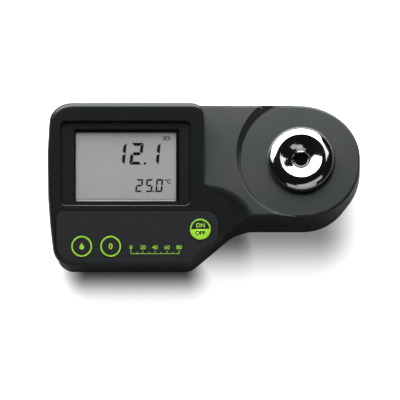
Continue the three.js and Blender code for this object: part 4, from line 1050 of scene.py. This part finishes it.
def makeKeypadFilm():
    sheet = toObject(edgedPlate(keypadOutline(0.05), film["low"], film["high"], film["edge"]), "keypad_film")
    for key in keys.values():
        cutAway(sheet, tube(0, film["keyHole"], -1, 0.5, key["spot"]))
    sheet.data.transform(faceMatrix)
    finishPiece(sheet, "keypad", "keypad_film", ["keypad_overlay"])


def makeTickScale():
    spec = tickScale
    low, high = film["high"] - 0.01, film["high"] + 0.03
    top = spec["base"] + spec["line"]
    bm = bmesh.new()
    extrudedPlate(bm, area(spec["left"] - spec["overrun"], spec["right"] + spec["overrun"], spec["base"],
                           top, 0), low, high)
    each = spec["ticksEach"]
    steps = (len(spec["numbers"]) - 1) * each
    for i in range(steps + 1):
        x = spec["left"] + (spec["right"] - spec["left"]) * i / steps
        tick = spec["shortTick"] if i % each else spec["longTick"]
        extrudedPlate(bm, area(x - spec["halfTick"], x + spec["halfTick"], top, spec["base"] + tick, 0),
                      low, high)
        if i % each == 0:
            addMesh(bm, letters(str(spec["numbers"][i // each]), spec["numberHeight"], x,
                                spec["base"] + spec["longTick"] + spec["numberRise"], low, high, 0.012))
    place(bm, faceMatrix)
    piece(bm, "keypad_scale", "greenInk", "keypad_film")


def makeKeyPiece(body, name, bm, finish="greenInk", replaced=()):
    place(bm, faceMatrix)
    piece(bm, name, finish, keys[body]["slot"], replaced, body)


def sampleDrop(low, high):
    # Round below, and drawn to a point above
    spec = drop
    bm = bmesh.new()
    bmesh.ops.create_circle(bm, cap_ends=True, segments=48, radius=spec["radius"] * mm)
    for vert in bm.verts:
        rise = max(0, vert.co.y / (spec["radius"] * mm))
        vert.co.x *= 1 - spec["narrower"] * rise ** 1.5
        vert.co.y *= 1 + spec["taller"] * rise
    shift(bm, 0, -spec["down"], low)
    top = bmesh.ops.extrude_face_region(bm, geom=list(bm.faces))["geom"]
    bmesh.ops.translate(bm, vec=millimetres(0, 0, high - low),
                        verts=[item for item in top if isinstance(item, bmesh.types.BMVert)])
    shift(bm, *keys["read_key"]["spot"])
    return bm


def switchHalf(low, high):
    # The switch key is green below its middle line
    bm = tube(0, keyTop["ringInner"] + hair, low, high)
    cutOff(bm, (0, 0, 0), (0, 1, 0))
    closeHoles(bm)
    shift(bm, *keys["power_key"]["spot"])
    return bm


def makeKeys():
    spec = keyTop
    low, high, radius = spec["inkLow"], spec["inkHigh"], spec["radius"]
    for body, key in keys.items():
        makeKeyPiece(body, body + "_top", turned([
            (0, spec["low"]), (radius, spec["low"]), (radius, spec["high"], spec["round"]),
            (0, spec["high"]),
        ], key["spot"]), "keypad", [body])
        ring = tube(spec["ringInner"], spec["ringOuter"], low, high, key["spot"])
        makeKeyPiece(body, body + "_ring", ring)
    makeKeyPiece("read_key", "read_key_sign", sampleDrop(low, high))
    zero = letters("0", 3.6, *keys["zero_key"]["spot"], low, high, 0.03)
    makeKeyPiece("zero_key", "zero_key_sign", zero)
    makeKeyPiece("power_key", "power_key_half", switchHalf(low, high - 0.002))
    x, y = keys["power_key"]["spot"]
    makeKeyPiece("power_key", "power_key_on", letters("ON", 2.7, x, y + 2.4, low, high, 0.03))
    off = letters("OFF", 2.7, x, y - 2.3, high - 0.01, high + 0.02, 0.035)
    makeKeyPiece("power_key", "power_key_off", off, "darkInk")


makeKeypadFilm()
makeTickScale()
makeKeys()
print("keypad made")


# Sample well: a polished ring with a bowl, drawn as one profile round the prism. A point is its radius and
# its height from the deck in mm; the curve runs smoothly through the middle stretch.
wellProfile = [
    ("VECTOR", [(4.25, 0.6), (4.25, 1.2)]),
    ("AUTO", [(4.9, 2.4), (5.7, 3.4), (6.6, 4.15), (7.8, 4.9), (9.0, 5.46), (10.4, 6.05), (11.8, 6.58),
              (13.3, 7.0), (16.85, 6.32), (19.67, 4.45), (20.62, 2.3), (20.7, 1.5)]),
    ("VECTOR", [(20.7, 0.9), (15.5, 0.9), (15.5, -7.0), (13.9, -7.0), (13.9, 1.2), (11.6, 3.2), (8.6, 1.6),
                (6.8, -0.4), (4.25, -0.4)]),
]


def makeWellRing():
    curve = bpy.data.curves.new("wellProfile", "CURVE")
    curve.dimensions = "3D"
    curve.resolution_u = 10
    corners = [(kind, corner) for kind, stretch in wellProfile for corner in stretch]
    spline = curve.splines.new("BEZIER")
    spline.bezier_points.add(len(corners) - 1)
    spline.use_cyclic_u = True
    for point, (kind, (radius, height)) in zip(spline.bezier_points, corners):
        point.co = millimetres(radius, 0, height)
        point.handle_left_type = point.handle_right_type = kind
    bm = fromCurve(curve)
    bmesh.ops.remove_doubles(bm, verts=bm.verts, dist=0.001 * mm)
    spinRound(bm, 192)
    shift(bm, *well, case["deck"])
    piece(bm, "sample_well", "steel", "polished_steel", ["well_ring"], sharpAngle=40)


makeWellRing()
print("sample well made")


# Battery door: a round cover turned by a bar between two finger hollows
door = {
    "radius": 31.0, "low": 1.0, "high": 3.3, "edge": 0.7, "spigot": 26.6, "wall": 2.2, "spigotTop": 7.7,
    "grooveLow": 3.6, "grooveHigh": 4.7, "grooveDepth": 0.8, "hollow": 20.0, "hollowTop": 2.4, "bar": 3.5,
    "steps": 160,
}


def fingerHollow(side):
    radius, top = door["hollow"], door["hollowTop"]
    bm = turned([(0, 0), (radius + 0.5, 0), (radius, top, 0.9), (0, top)], steps=128)
    cutOff(bm, millimetres(0, side * door["bar"], 0), (0, -side, 0.25))
    closeHoles(bm)
    shift(bm, *bay)
    return bm


def makeBatteryDoor():
    spec = door
    radius, spigot, low, high, top = (spec[key] for key in ("radius", "spigot", "low", "high", "spigotTop"))
    inner = spigot - spec["wall"]
    groove = spigot - spec["grooveDepth"]
    cover = toObject(turned([
        (0, low), (radius, low, spec["edge"]), (radius, high, 0.2), (spigot, high),
        (spigot, spec["grooveLow"]), (groove, spec["grooveLow"]), (groove, spec["grooveHigh"]),
        (spigot, spec["grooveHigh"]),
        (spigot, top, 0.4), (inner, top, 0.4), (inner, high, 1.0), (0, high),
    ], bay, steps=spec["steps"]), "battery_door_cover")
    # The bayonet lugs are cut from the node: all that stands out from the spigot above the groove
    reach = tube(spigot - 0.4, 40, 5, 10, bay, spec["steps"])
    lugs = nodeSolid("battery_cover")
    combine(lugs, toObject(reach, "reach"), "INTERSECT")
    combine(cover, lugs, "UNION")
    for side in (1, -1):
        cutAway(cover, fingerHollow(side))
    finishPiece(cover, "lowerAbs", "lower_case_abs", ["battery_cover"], "battery_door")


def makeDoorRing():
    low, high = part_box("cover_ring")
    radius = (high.x - low.x) / 2 / mm
    middle, half = (low.z + high.z) / 2 / mm, (high.z - low.z) / 2 / mm
    rounding = half * 0.9
    bm = turned([
        (radius - half * 2, middle - half, rounding), (radius, middle - half, rounding),
        (radius, middle + half, rounding), (radius - half * 2, middle + half, rounding),
    ], bay, steps=door["steps"], arcStep=15)
    piece(bm, "door_ring", "rubber", "black_rubber", ["cover_ring"], "battery_door")


makeBatteryDoor()
makeDoorRing()
print("battery door made")


# Feet and case screws, seen from below: radius, height and rounding of each corner in mm
footSection = [(0, 0.25), (4.2, 0.25, 0.3), (4.7, 0, 0.2), (6.0, 0, 0.6), (6.0, 2.0), (0, 2.0)]
screwSection = [(0, 15.7), (1.9, 15.72, 0.6), (2.66, 16.6, 0.6), (2.66, 17.7), (1.5, 17.7), (1.5, 31.0),
                (0.5, 32.2), (0, 32.2)]
crossRecess = {"length": 3.0, "width": 0.7, "from": 15.0, "depth": 2.0, "taper": 0.12}


def makeFoot(name):
    bm = turned(footSection, nodeMiddle(name), steps=64, arcStep=15)
    piece(bm, "rubber_" + name, "rubber", "black_rubber", [name])


def makeCaseScrew(name):
    # Pan head with a cross recess, point upwards
    screw = toObject(turned(screwSection, steps=40), "steel_" + name)
    spec = crossRecess
    for length, width in ((spec["length"], spec["width"]), (spec["width"], spec["length"])):
        slot = bmesh.new()
        plate = roundedPlate(slot, area(-length / 2, length / 2, -width / 2, width / 2, 0), spec["from"])
        raisePlate(slot, plate, spec["depth"], spec["taper"])
        closeHoles(slot)
        cutAway(screw, slot)
    screw.data.transform(Matrix.Translation(millimetres(*nodeMiddle(name), 0)))
    finishPiece(screw, "zinc", "zinc_steel", [name])


for name in footNames:
    makeFoot(name)
for name in caseScrewNames:
    makeCaseScrew(name)
print("feet and screws made")


# The CAD nodes keep their shape and get the finish of what they are made of
nodeFinishes = {
    "rubber": ["case_gasket", *footNames, "well_seal", "prism_seal", "cover_ring", "zebra_strip_front",
               "zebra_strip_back"],
    "zinc": [*caseScrewNames, *[f"board_screw_{i}" for i in range(1, 5)],
             *[f"optics_screw_{i}" for i in range(1, 5)]],
    "acrylic": ["display_window"],
    "displayMask": ["lcd_frame"],
    "blackMoulding": ["keypad_connector", "battery_connector", "optics_connector", "optics_block",
                      "battery_clip"],
    "display": ["lcd_panel"],
    "film": ["keypad_circuit", "keypad_spacer"],
    "keypad": ["keypad_overlay", "read_key", "zero_key", "power_key"],
    "board": ["main_board", "lamp_board", "sensor_board"],
    "springSteel": ["read_dome", "zero_dome", "power_dome"],
    "epoxy": ["processor_chip", "display_driver_chip", "image_sensor"],
    "steel": ["well_ring", "temperature_probe"],
    "prism": ["prism", "collimating_lens"],
    "lampEpoxy": ["lamp"],
    "battery": ["battery"],
    "cable": ["battery_lead", "optics_cable"],
    "lowerAbs": ["battery_cover"],
}
for finish, names in nodeFinishes.items():
    for name in names:
        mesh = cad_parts[name].data
        mesh.materials.clear()
        mesh.materials.append(finishes[finish])
print("frame nodes dressed")
